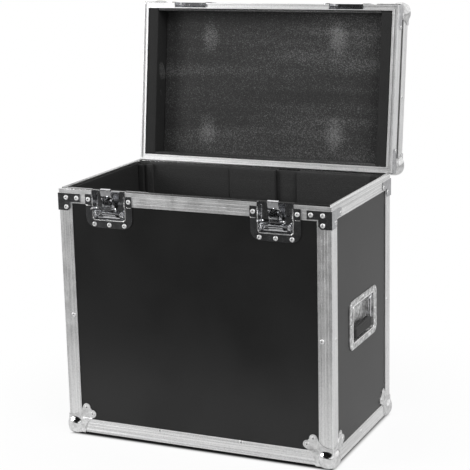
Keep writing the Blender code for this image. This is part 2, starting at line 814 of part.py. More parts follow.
def round_cube(name, radius, steps):
    """A cube swollen towards a ball. An odd number of steps leaves a small flat to stand on."""
    work = bmesh.new()
    bmesh.ops.create_cube(work, size=2.0)
    bmesh.ops.subdivide_edges(work, edges=work.edges, cuts=steps - 1, use_grid_fill=True)
    for vertex in work.verts:
        total = sum(abs(value) ** BALL_POWER for value in vertex.co)
        size = radius / total ** (1.0 / BALL_POWER)
        vertex.co = (vertex.co * size + Vector((BALL_INSET,) * 3)) * MM
    mesh = bpy.data.meshes.new(name)
    work.to_mesh(mesh)
    work.free()
    return add_object(name, mesh)


def tab_outline():
    """A corner plate with its two lobes, mirrored on the diagonal."""
    edge = -PLATE_OUT - 2 * CORNER_SPARE
    half = [(edge, edge), (CORNER_ARM, edge)]
    half += arc(CORNER_ARM + NECK_RADIUS, NECK_HEIGHT, NECK_RADIUS, 180.0, NECK_END,
                NECK_STEPS)
    half += arc(LOBE_FAR, LOBE_NEAR, LOBE_RADIUS, LOBE_START, LOBE_END, LOBE_STEPS)
    return half + [(q, p) for p, q in reversed(half[1:])]


def lid_side_outline():
    """A corner plate for the shallow sides of the lid, slanted along the edge of the lid."""
    edge = -PLATE_OUT - 2 * CORNER_SPARE
    reach = LID_HEIGHT - BRACE_DROP - LID_BRACE_TAIL - 2 * GAP
    corner = arc(LID_ARM_SHORT - LID_ARM_CORNER, reach - LID_ARM_CORNER, LID_ARM_CORNER, 0.0, 90.0, 3)
    return [(edge, edge), (LID_ARM_LONG, edge), (LID_ARM_LONG, LID_ARM_CORNER),
            (LID_ARM_SHORT, LEG)] + corner + [(edge, reach)]


def corner_plate(outline, axis):
    """A plate of the corner that lies across the given axis, drawn in the plus octant."""
    far = LOBE_FAR * 2
    room = LEG + GAP
    wall = room + STEP_WALL
    plate = prism("plate", [outline], -PLATE_OUT - CORNER_SPARE, LEG_THICKNESS)
    arms = [(-far, -far), (far, -far), (far, room), (room, room), (room, far), (-far, far)]
    step = box("step", (wall, wall, -far), (far, far, 0.0))
    plate = cut(plate, prism("arms", [arms], -GAP, far), step)
    turn = {"z": Matrix.Identity(4),
            "x": frame_matrix(Y_AXIS, Z_AXIS, X_AXIS, (0.0, 0.0, 0.0)),
            "y": frame_matrix(Z_AXIS, X_AXIS, Y_AXIS, (0.0, 0.0, 0.0))}[axis]
    return move_mesh(plate, turn)


def corner_envelope():
    """The room that the plates may fill, with blunt edges and a cut tip."""
    far = LOBE_FAR * 2
    room = box("envelope", (-PLATE_OUT,) * 3, (far,) * 3, CORNER_EDGE_RADIUS, 1)
    diagonal = Vector((1.0, 1.0, 1.0)).normalized()
    turn = diagonal.to_track_quat("Z", "Y").to_matrix().to_4x4()
    turn.translation = diagonal * CORNER_TIP * MM
    tip = move_mesh(box("tip", (-far, -far, -far), (far, far, 0.0)), turn)
    return cut(room, tip)


def ball_corner_shape(side_outline, face_outline):
    """The pressed corner: a hollow swollen ball on three plates that wrap the extrusions."""
    far = LOBE_FAR * 2
    turned_outline = [(q, p) for p, q in reversed(side_outline)]
    plates = join(corner_plate(side_outline, "x"), corner_plate(turned_outline, "y"),
                  corner_plate(face_outline, "z"))
    plates = keep_inside(plates, corner_envelope())
    middle = -GAP - CORNER_SHEET / 2
    ball = round_cube("ball", BALL_RADIUS, BALL_STEPS)
    shell = join(plates, cut(ball, box("inside", (middle,) * 3, (far,) * 3)))
    return cut(shell, round_cube("hollow", BALL_RADIUS - BALL_SHEET, BALL_STEPS))


def make_ball_corners():
    base_shape = ball_corner_shape(tab_outline(), tab_outline())
    lid_shape = ball_corner_shape(lid_side_outline(), tab_outline())
    for x_side, x_name in ((-1, "left"), (1, "right")):
        for y_side, y_name in ((-1, "front"), (1, "back")):
            for prefix, shape, height, z_side in (("base", base_shape, 0.0, 1.0),
                                                  ("lid", lid_shape, LID_TOP, -1.0)):
                name = f"{prefix}_ball_corner_{y_name}_{x_name}"
                mirror = Matrix.Diagonal((-x_side, -y_side, z_side, 1.0))
                place = Vector((x_side * HALF_WIDTH, y_side * HALF_DEPTH, height)) * MM
                corner = copy_of(shape, name)
                move_mesh(corner, Matrix.Translation(place) @ mirror)
                zinc(corner, name)
    bpy.data.objects.remove(base_shape, do_unlink=True)
    bpy.data.objects.remove(lid_shape, do_unlink=True)


# Latch dishes and keepers, drawn in the front face frame

def recess_hollow(left, bottom, right, top, depth):
    """The cutter that hollows a pressed recess, with rounded corners."""
    return prism("hollow", [rounded_rectangle(left, bottom, right, top, DISH_CORNER)], -depth,
                 PLATE_OUT + CUT_SPARE)


def least_curl_gap(points):
    """The least clear distance between the spring's curls, measured on its points."""
    least = math.inf
    for index, point in enumerate(points):
        for other in range(index + SPRING_CURL_POINTS // 2, len(points) - 1):
            start = points[other]
            span = points[other + 1] - start
            share = min(max((point - start).dot(span) / span.length_squared, 0.0), 1.0)
            least = min(least, (start + span * share - point).length)
    return least - SPRING_WIRE


def latch_spring(name, offset):
    """A double torsion spring: two coils on the pivot pin, joined by a bar in front."""
    radius = SPRING_COIL_RADIUS
    leave = math.acos(radius / math.hypot(SPRING_BAR_FORWARD, SPRING_BAR_DROP))
    bar_angle = math.atan2(-SPRING_BAR_DROP, SPRING_BAR_FORWARD)
    end_angle = bar_angle - leave + 2.0 * math.pi
    half = [(SPRING_OUTER, SPRING_LEG_TOP, -radius), (SPRING_OUTER, SPRING_LEG_TOP / 2, -radius)]
    start = math.pi
    total = (end_angle - start) + 2.0 * math.pi * SPRING_TURNS
    steps = int(SPRING_CURL_POINTS * total / (2.0 * math.pi))
    for step in range(steps + 1):
        turned = total * step / steps
        angle = start + turned
        x = SPRING_OUTER - SPRING_PITCH * turned / (2.0 * math.pi)
        half.append((x, radius * math.sin(angle), radius * math.cos(angle)))
    last = half[-1][0] - SPRING_WIRE
    half.append((last, -SPRING_BAR_DROP, SPRING_BAR_FORWARD))
    half.append((last - SPRING_WIRE, -SPRING_BAR_DROP, SPRING_BAR_FORWARD))
    lift = Vector((offset, PIVOT_HEIGHT, -PIVOT_DEPTH))
    points = [Vector(point) + lift for point in half + [(-x, y, z) for x, y, z in reversed(half)]]
    print(name, "least gap between curls", round(least_curl_gap(points), 3), "mm")
    spring = wire(name, points, SPRING_WIRE / 2)
    return chrome(on_face(spring, "front"), name)


def make_latch_dish(name, offset):
    """The recessed dish with its stepped flange and the carriage's pivot pin."""
    half = LATCH_PLATE_HALF_WIDTH
    radius = LATCH_PLATE_CORNER
    step = BASE_HEIGHT - RIM_LEG - GAP
    front = GAP - PANEL_FACE
    lower = arc(half - FUSE - radius, LATCH_PLATE_BOTTOM + radius, radius, -90.0, 0.0,
                CORNER_STEPS)
    loop = lower + [(half - FUSE, step - FUSE), (FUSE - half, step - FUSE)] + mirrored(lower)
    flange = prism("flange", [loop], front, front + CORNER_SHEET)
    upper = across([(front + CORNER_SHEET / 2, step - CORNER_SHEET), (PLATE_OUT, step - CORNER_SHEET),
                    (PLATE_OUT, LATCH_PLATE_TOP), (GAP, LATCH_PLATE_TOP), (GAP, step),
                    (front + CORNER_SHEET / 2, step)], half)
    low = LATCH_RECESS_BOTTOM - DISH_SHEET
    body = across([(-RECESS_BACK, low), (-CORNER_SHEET / 2, low), (-CORNER_SHEET / 2, step - FUSE),
                   (GAP + CORNER_SHEET / 2, step - FUSE), (GAP + CORNER_SHEET / 2, BASE_HEIGHT),
                   (-RECESS_BACK, BASE_HEIGHT)], RECESS_OUTER_HALF)
    hollow = recess_hollow(-RECESS_HALF_WIDTH, LATCH_RECESS_BOTTOM, RECESS_HALF_WIDTH,
                           BASE_HEIGHT * 2, RECESS_DEPTH)
    dish = cut(join(body, flange, upper), hollow)
    pin = rod("pin", (-RECESS_HALF_WIDTH - DISH_SHEET / 2, PIVOT_HEIGHT, -PIVOT_DEPTH),
              (RECESS_HALF_WIDTH + DISH_SHEET / 2, PIVOT_HEIGHT, -PIVOT_DEPTH), PIVOT_RADIUS,
              PIN_SIDES)
    dish = join(dish, pin)
    return zinc(on_face(dish, "front", offset), name)


def make_keeper(name, offset):
    """The recessed keeper in the lid, with the bar that the claw pulls on."""
    low = LID_BOTTOM + GAP
    top = LID_BOTTOM + KEEPER_RECESS_HEIGHT
    half = LATCH_PLATE_HALF_WIDTH
    outline = rounded_rectangle(-half, LID_BOTTOM + KEEPER_PLATE_RISE, half,
                                LID_BOTTOM + KEEPER_PLATE_HEIGHT, KEEPER_PLATE_CORNER)
    flange = prism("flange", [outline], GAP, PLATE_OUT)
    body = box("body", (-RECESS_OUTER_HALF, low, -RECESS_BACK),
               (RECESS_OUTER_HALF, top + DISH_SHEET, GAP + CORNER_SHEET / 2))
    hollow = recess_hollow(-RECESS_HALF_WIDTH, 0.0, RECESS_HALF_WIDTH, top, RECESS_DEPTH)
    keeper = cut(join(body, flange), hollow)
    bar_low = LID_BOTTOM + KEEPER_BAR_RISE
    reach = RECESS_HALF_WIDTH + DISH_SHEET / 2
    bar = box("bar", (-reach, bar_low, -KEEPER_BAR_DEPTH - KEEPER_BAR_THICKNESS),
              (reach, bar_low + KEEPER_BAR_HEIGHT, -KEEPER_BAR_DEPTH))
    keeper = join(keeper, bar)
    return zinc(on_face(keeper, "front", offset), name)


# Latch mechanism, drawn in the front face frame around X = 0 with the carriage pushed in

def across(outline, half_width):
    """A solid with an outline of outward and up offsets, as wide as given on both sides."""
    solid = prism("across", [outline], -half_width, half_width)
    turn = frame_matrix(Z_AXIS, Y_AXIS, -X_AXIS, (0.0, 0.0, 0.0))
    return move_mesh(solid, turn)


def channel_outline():
    """The carriage's plate with its two lipped rails, in X and outward offset."""
    half = CLAW_HALF_WIDTH + GAP + RAIL_WIDTH
    inner = CLAW_HALF_WIDTH + GAP
    lip = half - RAIL_LIP
    front = -CLAW_FACE + GAP
    right = [(half, -CARRIAGE_BACK), (half, front + RAIL_LIP_SHEET), (lip, front + RAIL_LIP_SHEET),
             (lip, front), (inner, front), (inner, -CARRIAGE_FACE)]
    return right + mirrored(right)


def carriage_shape():
    """The sprung carriage: a channel for the claw, the pivot barrel and the spring lip."""
    half = CARRIAGE_HALF_WIDTH
    start = PIVOT_HEIGHT + BARREL_RADIUS / 2
    channel = prism("channel", [channel_outline()], start, CARRIAGE_TOP)
    move_mesh(channel, frame_matrix(X_AXIS, Z_AXIS, Y_AXIS, (0.0, 0.0, 0.0)))
    foot = PIVOT_HEIGHT - LIP_REACH
    lip_back = -PIVOT_DEPTH - LIP_SET_BACK
    lip_front = lip_back + CARRIAGE_SHEET
    barrel = arc(-PIVOT_DEPTH, PIVOT_HEIGHT, BARREL_RADIUS, BARREL_FRONT_START,
                 BARREL_FRONT_END, BARREL_FRONT_STEPS)
    profile = [(lip_back, foot), (lip_front, foot), (lip_front, PIVOT_HEIGHT - BARREL_RADIUS + FUSE)]
    profile += barrel
    profile += [(-CARRIAGE_FACE + FUSE, PIVOT_HEIGHT + BARREL_RADIUS),
                (-CARRIAGE_BACK + FUSE, PIVOT_HEIGHT + BARREL_RADIUS - FUSE),
                (-CARRIAGE_BACK + FUSE, PIVOT_HEIGHT)]
    profile += arc(-PIVOT_DEPTH, PIVOT_HEIGHT, BARREL_RADIUS, BARREL_BACK_START,
                   BARREL_BACK_END, BARREL_BACK_STEPS)
    carriage = join(across(profile, half), channel)
    bore = rod("bore", (-half - CUT_SPARE, PIVOT_HEIGHT, -PIVOT_DEPTH),
               (half + CUT_SPARE, PIVOT_HEIGHT, -PIVOT_DEPTH), PIVOT_RADIUS + GAP)
    shaft = rod("shaft", (0.0, SPINDLE_HEIGHT, -CARRIAGE_BACK - CUT_SPARE),
                (0.0, SPINDLE_HEIGHT, -CARRIAGE_FACE + CUT_SPARE), SPINDLE_SHAFT_RADIUS + GAP)
    return cut(carriage, bore, shaft)


def claw_shape():
    """The claw: a sliding plate with a cross slot, a step outwards and a hook."""
    sheet = CLAW_SHEET
    face = -CLAW_FACE
    front = -CLAW_FRONT_DEPTH
    step = CLAW_STEP_HEIGHT
    side = [(-CLAW_BACK, CLAW_FOOT), (face, CLAW_FOOT), (face, step - sheet), (front, step + sheet),
            (front, CLAW_TOP - CLAW_NOSE), (front - sheet / 2, CLAW_TOP),
            (-CLAW_HOOK_DEPTH, CLAW_TOP), (-CLAW_HOOK_DEPTH, CLAW_TOP - CLAW_HOOK_DROP),
            (-CLAW_HOOK_DEPTH + CLAW_HOOK_SHEET, CLAW_TOP - CLAW_HOOK_DROP),
            (-CLAW_HOOK_DEPTH + CLAW_HOOK_SHEET, CLAW_TOP - sheet),
            (front - sheet, CLAW_TOP - sheet), (front - sheet, step + CLAW_BEND_RISE),
            (-CLAW_BACK, step - CLAW_BEND_DROP)]
    claw = across(side, CLAW_HALF_WIDTH)
    slot_low = SPINDLE_HEIGHT - CLAW_TRAVEL - SPINDLE_SHAFT_RADIUS - 2 * GAP
    slot_high = SPINDLE_HEIGHT + SPINDLE_SHAFT_RADIUS + 2 * GAP
    slot_half = SPINDLE_SHAFT_RADIUS + 2 * GAP
    slot = box("slot", (-slot_half, slot_low, -CLAW_BACK - CUT_SPARE),
               (slot_half, slot_high, -CLAW_FACE + CUT_SPARE))
    crank = SPINDLE_HEIGHT - CRANK_RADIUS
    reach = CRANK_RADIUS + CRANK_PIN_RADIUS + GAP
    play = CRANK_PIN_RADIUS + YOKE_PLAY
    yoke = box("yoke", (-reach, crank - play, -CLAW_BACK - CUT_SPARE),
               (reach, crank + play, -CLAW_FACE + CUT_SPARE))
    return cut(claw, slot, yoke)


def spindle_shape():
    """The spindle: disc, shaft, crank pin, ears and the wing's hinge pin."""
    disc = rod("disc", (0.0, SPINDLE_HEIGHT, -DISC_BACK), (0.0, SPINDLE_HEIGHT, -DISC_FACE),
               SPINDLE_DISC_RADIUS, DISC_SIDES)
    shaft = rod("shaft", (0.0, SPINDLE_HEIGHT, -CARRIAGE_BACK),
                (0.0, SPINDLE_HEIGHT, -DISC_BACK + FUSE), SPINDLE_SHAFT_RADIUS)
    crank = rod("crank", (0.0, SPINDLE_HEIGHT - CRANK_RADIUS, -CLAW_BACK + GAP / 2),
                (0.0, SPINDLE_HEIGHT - CRANK_RADIUS, -DISC_BACK + FUSE), CRANK_PIN_RADIUS,
                PIN_SIDES)
    solids = [shaft, crank]
    ear = arc(-WING_AXIS_DEPTH, WING_AXIS_HEIGHT, EAR_RADIUS, -EAR_ANGLE, EAR_ANGLE, EAR_STEPS)
    ear += [(-DISC_FACE - FUSE, WING_AXIS_HEIGHT + EAR_ROOT),
            (-DISC_FACE - FUSE, WING_AXIS_HEIGHT - EAR_ROOT)]
    for side in (-1, 1):
        middle = side * (WING_BARREL_HALF + GAP + EAR_WIDTH / 2)
        place = Matrix.Translation((middle * MM, 0.0, 0.0))
        solids.append(move_mesh(across(ear, EAR_WIDTH / 2), place))
    reach = WING_BARREL_HALF + GAP + FUSE
    solids.append(rod("hinge_pin", (-reach, WING_AXIS_HEIGHT, -WING_AXIS_DEPTH),
                      (reach, WING_AXIS_HEIGHT, -WING_AXIS_DEPTH), WING_PIN_RADIUS,
                      SMALL_PIN_SIDES))
    return join(disc, *solids)


def wing_outline():
    """The butterfly: two round lobes that narrow to the barrel, with a hollow in the tip edge."""
    axis = WING_AXIS_HEIGHT
    tip = axis + WING_LENGTH
    lobe = (WING_LENGTH - WING_ROOT) / 2
    centre_y = tip - lobe
    neck = WING_BARREL_HALF - WING_NECK_INSET
    right = [(neck, axis + WING_NECK_RISE), (neck, axis + EAR_RADIUS + GAP),
             (WING_HALF_WIDTH * WING_SHOULDER_SHARE, axis + EAR_RADIUS + 3 * GAP)]
    right += arc(WING_HALF_WIDTH - lobe, centre_y, lobe, WING_LOBE_START, 90.0,
                 WING_LOBE_STEPS)
    right += [(WING_HALF_WIDTH * WING_DIP_SHARE, tip - WING_DIP_EDGE), (0.0, tip - WING_DIP)]
    return right + mirrored(right[:-1])


def wing_shape():
    """The butterfly wing folded flat, with a dimple pressed in each lobe."""
    low = -WING_AXIS_DEPTH - WING_BACK
    plate = prism("wing", [wing_outline()], low, low + WING_SHEET)
    barrel = rod("barrel", (-WING_BARREL_HALF, WING_AXIS_HEIGHT, -WING_AXIS_DEPTH),
                 (WING_BARREL_HALF, WING_AXIS_HEIGHT, -WING_AXIS_DEPTH), WING_BARREL_RADIUS,
                 PIN_SIDES)
    wing = join(plate, barrel)
    dimples = []
    lobe = (WING_LENGTH - WING_ROOT) / 2
    for side in (-1, 1):
        x = side * (WING_HALF_WIDTH - lobe)
        y = WING_AXIS_HEIGHT + WING_LENGTH - lobe
        dimples.append(rod("dimple", (x, y, low - CUT_SPARE), (x, y, low + DIMPLE_DEPTH),
                           lobe * DIMPLE_SHARE))
    bore = rod("bore", (-WING_BARREL_HALF - CUT_SPARE, WING_AXIS_HEIGHT, -WING_AXIS_DEPTH),
               (WING_BARREL_HALF + CUT_SPARE, WING_AXIS_HEIGHT, -WING_AXIS_DEPTH),
               WING_PIN_RADIUS + GAP, SMALL_PIN_SIDES)
    return cut(wing, bore, *dimples)


def empty_at(name, point, parent=None):
    """An empty at a point in millimetres, to carry the pieces that move with it."""
    empty = bpy.data.objects.new(name, None)
    empty.empty_display_size = EMPTY_SIZE * MM
    PARTS.objects.link(empty)
    empty.location = Vector(point) * MM
    if parent:
        attach(empty, parent)
    return empty


def attach(child, parent):
    """Parents a child in place, before the parent is turned."""
    bpy.context.view_layer.update()
    child.parent = parent
    child.matrix_parent_inverse = parent.matrix_world.inverted()


def set_origin(obj, point):
    """Moves an object's origin to a point on its joint axis, and leaves its faces in place."""
    place = Vector(point) * MM
    obj.data.transform(Matrix.Translation(-place))
    obj.location = place
    return obj


def make_latch(side_name, offset):
    """One recessed latch with the carriage sprung out and the wing folded out."""
    make_latch_dish(f"latch_dish_{side_name}", offset)
    latch_spring(f"latch_spring_{side_name}", offset)
    axis = (offset, -HALF_DEPTH + PIVOT_DEPTH, PIVOT_HEIGHT)
    spindle_point = (offset, -HALF_DEPTH + DISC_FACE, SPINDLE_HEIGHT)
    wing_point = (offset, -HALF_DEPTH + WING_AXIS_DEPTH, WING_AXIS_HEIGHT)
    tilt = empty_at(f"tilt_{side_name}", axis)
    pieces = (
        (carriage_shape(), f"latch_carriage_{side_name}", axis, zinc),
        (claw_shape(), f"latch_claw_{side_name}", spindle_point, chrome),
        (spindle_shape(), f"latch_spindle_{side_name}", spindle_point, chrome),
    )
    for shape, name, point, coat in pieces:
        piece = set_origin(on_face(shape, "front", offset), point)
        coat(piece, name)
        attach(piece, tilt)
    wing = set_origin(on_face(wing_shape(), "front", offset), wing_point)
    chrome(wing, f"latch_wing_{side_name}")
    attach(wing, tilt)
    wing.rotation_euler.x = math.radians(WING_UNFOLD_DEGREES)
    tilt.rotation_euler.x = math.radians(TILT_DEGREES)


# Side handles, drawn in the side face frame

def bail_points():
    """The bail's centre line: out-turned ends, two arms and the bar through the grip."""
    top = HANDLE_PIVOT_HEIGHT
    low = GRIP_LEVEL
    half = BAIL_HALF_WIDTH
    end = HANDLE_RECESS_HALF_WIDTH - GAP
    upper = arc(half + BAIL_BEND, top - BAIL_BEND, BAIL_BEND, 90.0, 180.0, 4)
    lower = arc(half - BAIL_BEND, low + BAIL_BEND, BAIL_BEND, 0.0, -90.0, 4)
    right = [(end, top)] + upper + lower
    return [(x, y, -BAIL_DEPTH) for x, y in right + mirrored(right)]


def make_handle(side_name, face, shift):
    """A recessed dish with a sprung bail and a rubber grip."""
    half = HANDLE_PLATE_HALF_WIDTH
    outline = rounded_rectangle(-half, HANDLE_RECESS_BOTTOM - HANDLE_FLANGE_BELOW, half,
                                HANDLE_RECESS_TOP + HANDLE_FLANGE_ABOVE, HANDLE_PLATE_CORNER,
                                CORNER_STEPS)
    flange = prism("flange", [outline], -PANEL_FACE + GAP, -PANEL_FACE + GAP + CORNER_SHEET)
    wall = HANDLE_RECESS_HALF_WIDTH + DISH_SHEET
    back = -HANDLE_RECESS_DEPTH - DISH_SHEET
    body = box("body", (-wall, HANDLE_RECESS_BOTTOM - DISH_SHEET, back),
               (wall, HANDLE_RECESS_TOP + DISH_SHEET, -CORNER_SHEET / 2))
    hollow = recess_hollow(-HANDLE_RECESS_HALF_WIDTH, HANDLE_RECESS_BOTTOM, HANDLE_RECESS_HALF_WIDTH,
                           HANDLE_RECESS_TOP, HANDLE_RECESS_DEPTH)
    dish = cut(join(body, flange), hollow)
    zinc(on_face(dish, face, shift), f"handle_dish_{side_name}")
    right, up, out, reach = FACES[face]
    axis = out * (reach - BAIL_DEPTH) + right * shift + up * HANDLE_PIVOT_HEIGHT
    bail = on_face(wire("bail", bail_points(), BAIL_RADIUS, 2), face, shift)
    chrome(set_origin(bail, axis), f"handle_bail_{side_name}")
    low = GRIP_LEVEL
    grip = box("grip", (-GRIP_HALF_LENGTH, low - GRIP_HEIGHT / 2, -BAIL_DEPTH - GRIP_THICKNESS / 2),
               (GRIP_HALF_LENGTH, low + GRIP_HEIGHT / 2, -BAIL_DEPTH + GRIP_THICKNESS / 2),
               GRIP_CORNER, GRIP_STEPS)
    bore = rod("bore", (-GRIP_HALF_LENGTH - CUT_SPARE, low, -BAIL_DEPTH),
               (GRIP_HALF_LENGTH + CUT_SPARE, low, -BAIL_DEPTH), BAIL_RADIUS + GAP)
    grip = on_face(cut(grip, bore), face, shift)
    rubber(set_origin(grip, axis), f"handle_grip_{side_name}")


# Hinges, drawn in the back face frame

def hinge_leaf(name, offset, for_lid):
    """A leaf with its knuckles. The base leaf also holds the pin."""
    axis_up = BASE_HEIGHT - HINGE_AXIS_DROP
    half = HINGE_HALF_WIDTH
    leaf_out = GAP + HINGE_SHEET
    knuckles = ((-half, -LID_KNUCKLE_HALF - GAP), (LID_KNUCKLE_HALF + GAP, half))
    clear = KNUCKLE_RADIUS + GAP
    if for_lid:
        low = LID_BOTTOM + GAP
        leaf = box(name, (-half, low, GAP), (half, low + LID_LEAF_HEIGHT, leaf_out))
        tongue = box("tongue", (-LID_KNUCKLE_HALF, axis_up, GAP),
                     (LID_KNUCKLE_HALF, low + FUSE, leaf_out))
        barrel = rod("barrel", (-LID_KNUCKLE_HALF, axis_up, HINGE_AXIS_OUT),
                     (LID_KNUCKLE_HALF, axis_up, HINGE_AXIS_OUT), KNUCKLE_RADIUS, BARREL_SIDES)
        leaf = join(leaf, tongue, barrel)
        bore = rod("bore", (-half, axis_up, HINGE_AXIS_OUT), (half, axis_up, HINGE_AXIS_OUT),
                   HINGE_PIN_RADIUS + GAP, PIN_SIDES)
        leaf = cut(leaf, bore)
    else:
        leaf = box(name, (-half, axis_up - BASE_LEAF_HEIGHT, GAP), (half, axis_up, leaf_out))
        relief = box("relief", (-LID_KNUCKLE_HALF - GAP, axis_up - clear, 0.0),
                     (LID_KNUCKLE_HALF + GAP, axis_up + clear, leaf_out + CUT_SPARE))
        leaf = cut(leaf, relief)
        barrels = [rod("barrel", (low, axis_up, HINGE_AXIS_OUT), (high, axis_up, HINGE_AXIS_OUT),
                       KNUCKLE_RADIUS, BARREL_SIDES) for low, high in knuckles]
        pin = rod("pin", (-half + FUSE, axis_up, HINGE_AXIS_OUT),
                  (half - FUSE, axis_up, HINGE_AXIS_OUT), HINGE_PIN_RADIUS, PIN_SIDES)
        leaf = join(leaf, *barrels, pin)
    return zinc(on_face(leaf, "back", -offset), name)


def make_hinges():
    for side, side_name in ((-1, "left"), (1, "right")):
        hinge_leaf(f"hinge_base_leaf_{side_name}", side * HINGE_OFFSET, False)
        hinge_leaf(f"hinge_lid_leaf_{side_name}", side * HINGE_OFFSET, True)


# Foam

def make_base_foam():
    x = HALF_WIDTH - WALL - GAP
    y = HALF_DEPTH - WALL - GAP
    bottom = WALL + GAP
    floor_top = bottom + FLOOR_FOAM
    top = BASE_HEIGHT - FOAM_BELOW_RIM
    foam(box("floor", (-x, -y, bottom), (x, y, floor_top)), "base_foam_floor")
    walls = box("walls", (-x, -y, floor_top + GAP), (x, y, top))
    back = y - BACK_FOAM
    front = -y + FRONT_FOAM
    lower = box("lower", (-x + WALL_FOAM_THICK, front, bottom),
                (x - WALL_FOAM_THICK, back, TRAY_LEVEL + CUT_SPARE))
    upper = box("upper", (-x + WALL_FOAM_THIN, front, TRAY_LEVEL),
                (x - WALL_FOAM_THIN, back, top + CUT_SPARE))
    slot = box("slot", (BLOCK_SLOT_LEFT, back - CUT_SPARE, TRAY_LEVEL),
               (BLOCK_SLOT_RIGHT, back + BLOCK_SLOT_DEPTH, top + CUT_SPARE))
    step = box("step", (-x + CORNER_BLOCK_FAR, back - CUT_SPARE, TRAY_LEVEL),
               (-BLOCK_STEP_X, back + BLOCK_STEP, top + CUT_SPARE))
    walls = cut(walls, lower, upper, slot, step)
    near = back - CORNER_BLOCK_OVERLAP
    corner = box("corner", (-x + WALL_FOAM_THIN - FUSE, near, TRAY_LEVEL - FUSE),
                 (-x + CORNER_BLOCK_NEAR, back + FUSE, top - FOAM_BELOW_RIM))
    corner_step = box("corner_step",
                      (-x + CORNER_BLOCK_NEAR - FUSE, near + CORNER_BLOCK_STEP, TRAY_LEVEL - FUSE),
                      (-x + CORNER_BLOCK_FAR, back + FUSE, top - FOAM_BELOW_RIM))
    walls = join(walls, corner, corner_step)
    pockets = []
    depth = HANDLE_RECESS_DEPTH + DISH_SHEET + 2 * GAP
    half = HANDLE_RECESS_HALF_WIDTH + DISH_SHEET + 2 * GAP
    low = HANDLE_RECESS_BOTTOM - DISH_SHEET - 2 * GAP
    high = HANDLE_RECESS_TOP + DISH_SHEET + 2 * GAP
    for face, shift in (("right", HANDLE_SHIFT), ("left", -HANDLE_SHIFT)):
        pocket = box("pocket", (-half, low, -depth), (half, high, 0.0))
        pockets.append(on_face(pocket, face, shift))
    foam(cut(walls, *pockets), "base_foam_walls")


def make_lid_foam():
    x = HALF_WIDTH - WALL - GAP
    y = HALF_DEPTH - WALL - GAP
    top = LID_TOP - WALL - GAP
    bottom = LID_BOTTOM + LID_FOAM_SET_BACK
    block = box("block", (-x, -y, bottom), (x, y, top))
    tray = box("tray", (-x + LID_FOAM_END, -y + LID_FOAM_SIDE, bottom - CUT_SPARE),
               (x - LID_FOAM_END, y - LID_FOAM_SIDE, top - LID_FOAM_BED))
    foam(cut(block, tray), "lid_foam")


# Lid motion and final placing

def lid_pieces():
    """Everything that swings with the lid."""
    return [obj for obj in PARTS.objects if obj.type == "MESH"
            and obj.name.startswith(("lid_", "keeper_", "hinge_lid_"))]


def open_lid():
    pivot = empty_at("lid_pivot", HINGE_AXIS)
    for piece in lid_pieces():
        set_origin(piece, HINGE_AXIS)
        attach(piece, pivot)
    pivot.rotation_euler.x = -math.radians(LID_OPEN_DEGREES)


def case_bounds():
    """The lowest and highest corner of all pieces in metres."""
    bpy.context.view_layer.update()
    low = Vector((math.inf,) * 3)
    high = Vector((-math.inf,) * 3)
    for obj in PARTS.objects:
        if obj.type != "MESH":
            continue
        for vertex in obj.data.vertices:
            place = obj.matrix_world @ vertex.co
            low = Vector(map(min, low, place))
            high = Vector(map(max, high, place))
    return low, high


def centre_case():
    """Moves the case so that the middle of its underside is the origin."""
    low, high = case_bounds()
    middle = (low + high) / 2
    shift = Vector((-middle.x, -middle.y, -low.z))
    for obj in PARTS.objects:
        if obj.parent is None:
            obj.location += shift
    print("case moved by", tuple(round(value, 6) for value in shift))
    print("case size", tuple(round(value, 6) for value in high - low))


clear_scene()
PARTS = make_collection("flight_case")
make_uprights()
make_edge_set("floor", 0.0, 1)
make_edge_set("lid", LID_TOP, -1)
make_base_rim()
make_lid_rim()
make_panels()
make_ball_corners()
make_keeper("keeper_left", -LATCH_OFFSET)
make_keeper("keeper_right", LATCH_OFFSET)
make_hinges()
make_base_foam()
make_lid_foam()
open_lid()
make_latch("left", -LATCH_OFFSET)
make_latch("right", LATCH_OFFSET)
make_handle("right", "right", HANDLE_SHIFT)
make_handle("left", "left", -HANDLE_SHIFT)
centre_case()
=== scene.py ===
"""Looks of the flight case: its finishes, rivets, lips and foam lining, in a plain studio.

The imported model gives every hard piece. This script adds the rivets, the rolled lips and the
cut foam, gives each piece its material, and sets up the floor, the lights and the camera.
Lengths in the tables are millimetres in the case's own frame: X to the right, Y to the back,
Z up from the underside of the floor extrusions, centred on the base, with the lid shut.
"""

import math

import bmesh
import bpy
import numpy as np
from mathutils import Matrix, Vector


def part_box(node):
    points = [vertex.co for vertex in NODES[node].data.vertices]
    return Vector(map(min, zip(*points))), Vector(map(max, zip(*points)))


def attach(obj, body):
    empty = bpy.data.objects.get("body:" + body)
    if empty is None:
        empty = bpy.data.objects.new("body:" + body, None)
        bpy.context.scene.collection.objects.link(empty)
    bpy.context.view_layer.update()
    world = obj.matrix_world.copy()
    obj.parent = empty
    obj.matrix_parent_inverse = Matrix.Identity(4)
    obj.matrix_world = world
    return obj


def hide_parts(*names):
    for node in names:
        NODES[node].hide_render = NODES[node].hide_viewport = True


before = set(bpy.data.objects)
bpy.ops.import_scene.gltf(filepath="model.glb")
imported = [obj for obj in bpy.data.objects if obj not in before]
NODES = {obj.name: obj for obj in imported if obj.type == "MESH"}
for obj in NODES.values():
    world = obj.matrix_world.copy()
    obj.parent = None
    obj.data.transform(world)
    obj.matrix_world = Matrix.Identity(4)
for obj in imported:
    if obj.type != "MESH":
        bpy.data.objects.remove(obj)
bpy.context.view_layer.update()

MM = 0.001

# The case's own frame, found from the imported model
HALF_WIDTH = 310.0
HALF_DEPTH = 182.5
BASE_HEIGHT = 545.0
LID_TOP = 619.4
LID_OPEN_DEGREES = 97.4
HINGE_OUT = 4.0
HINGE_DROP = 3.0
SHIFT = Vector((0.0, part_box("upright_front_left")[0].y + HALF_DEPTH * MM,
                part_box("floor_edge_front")[0].z))

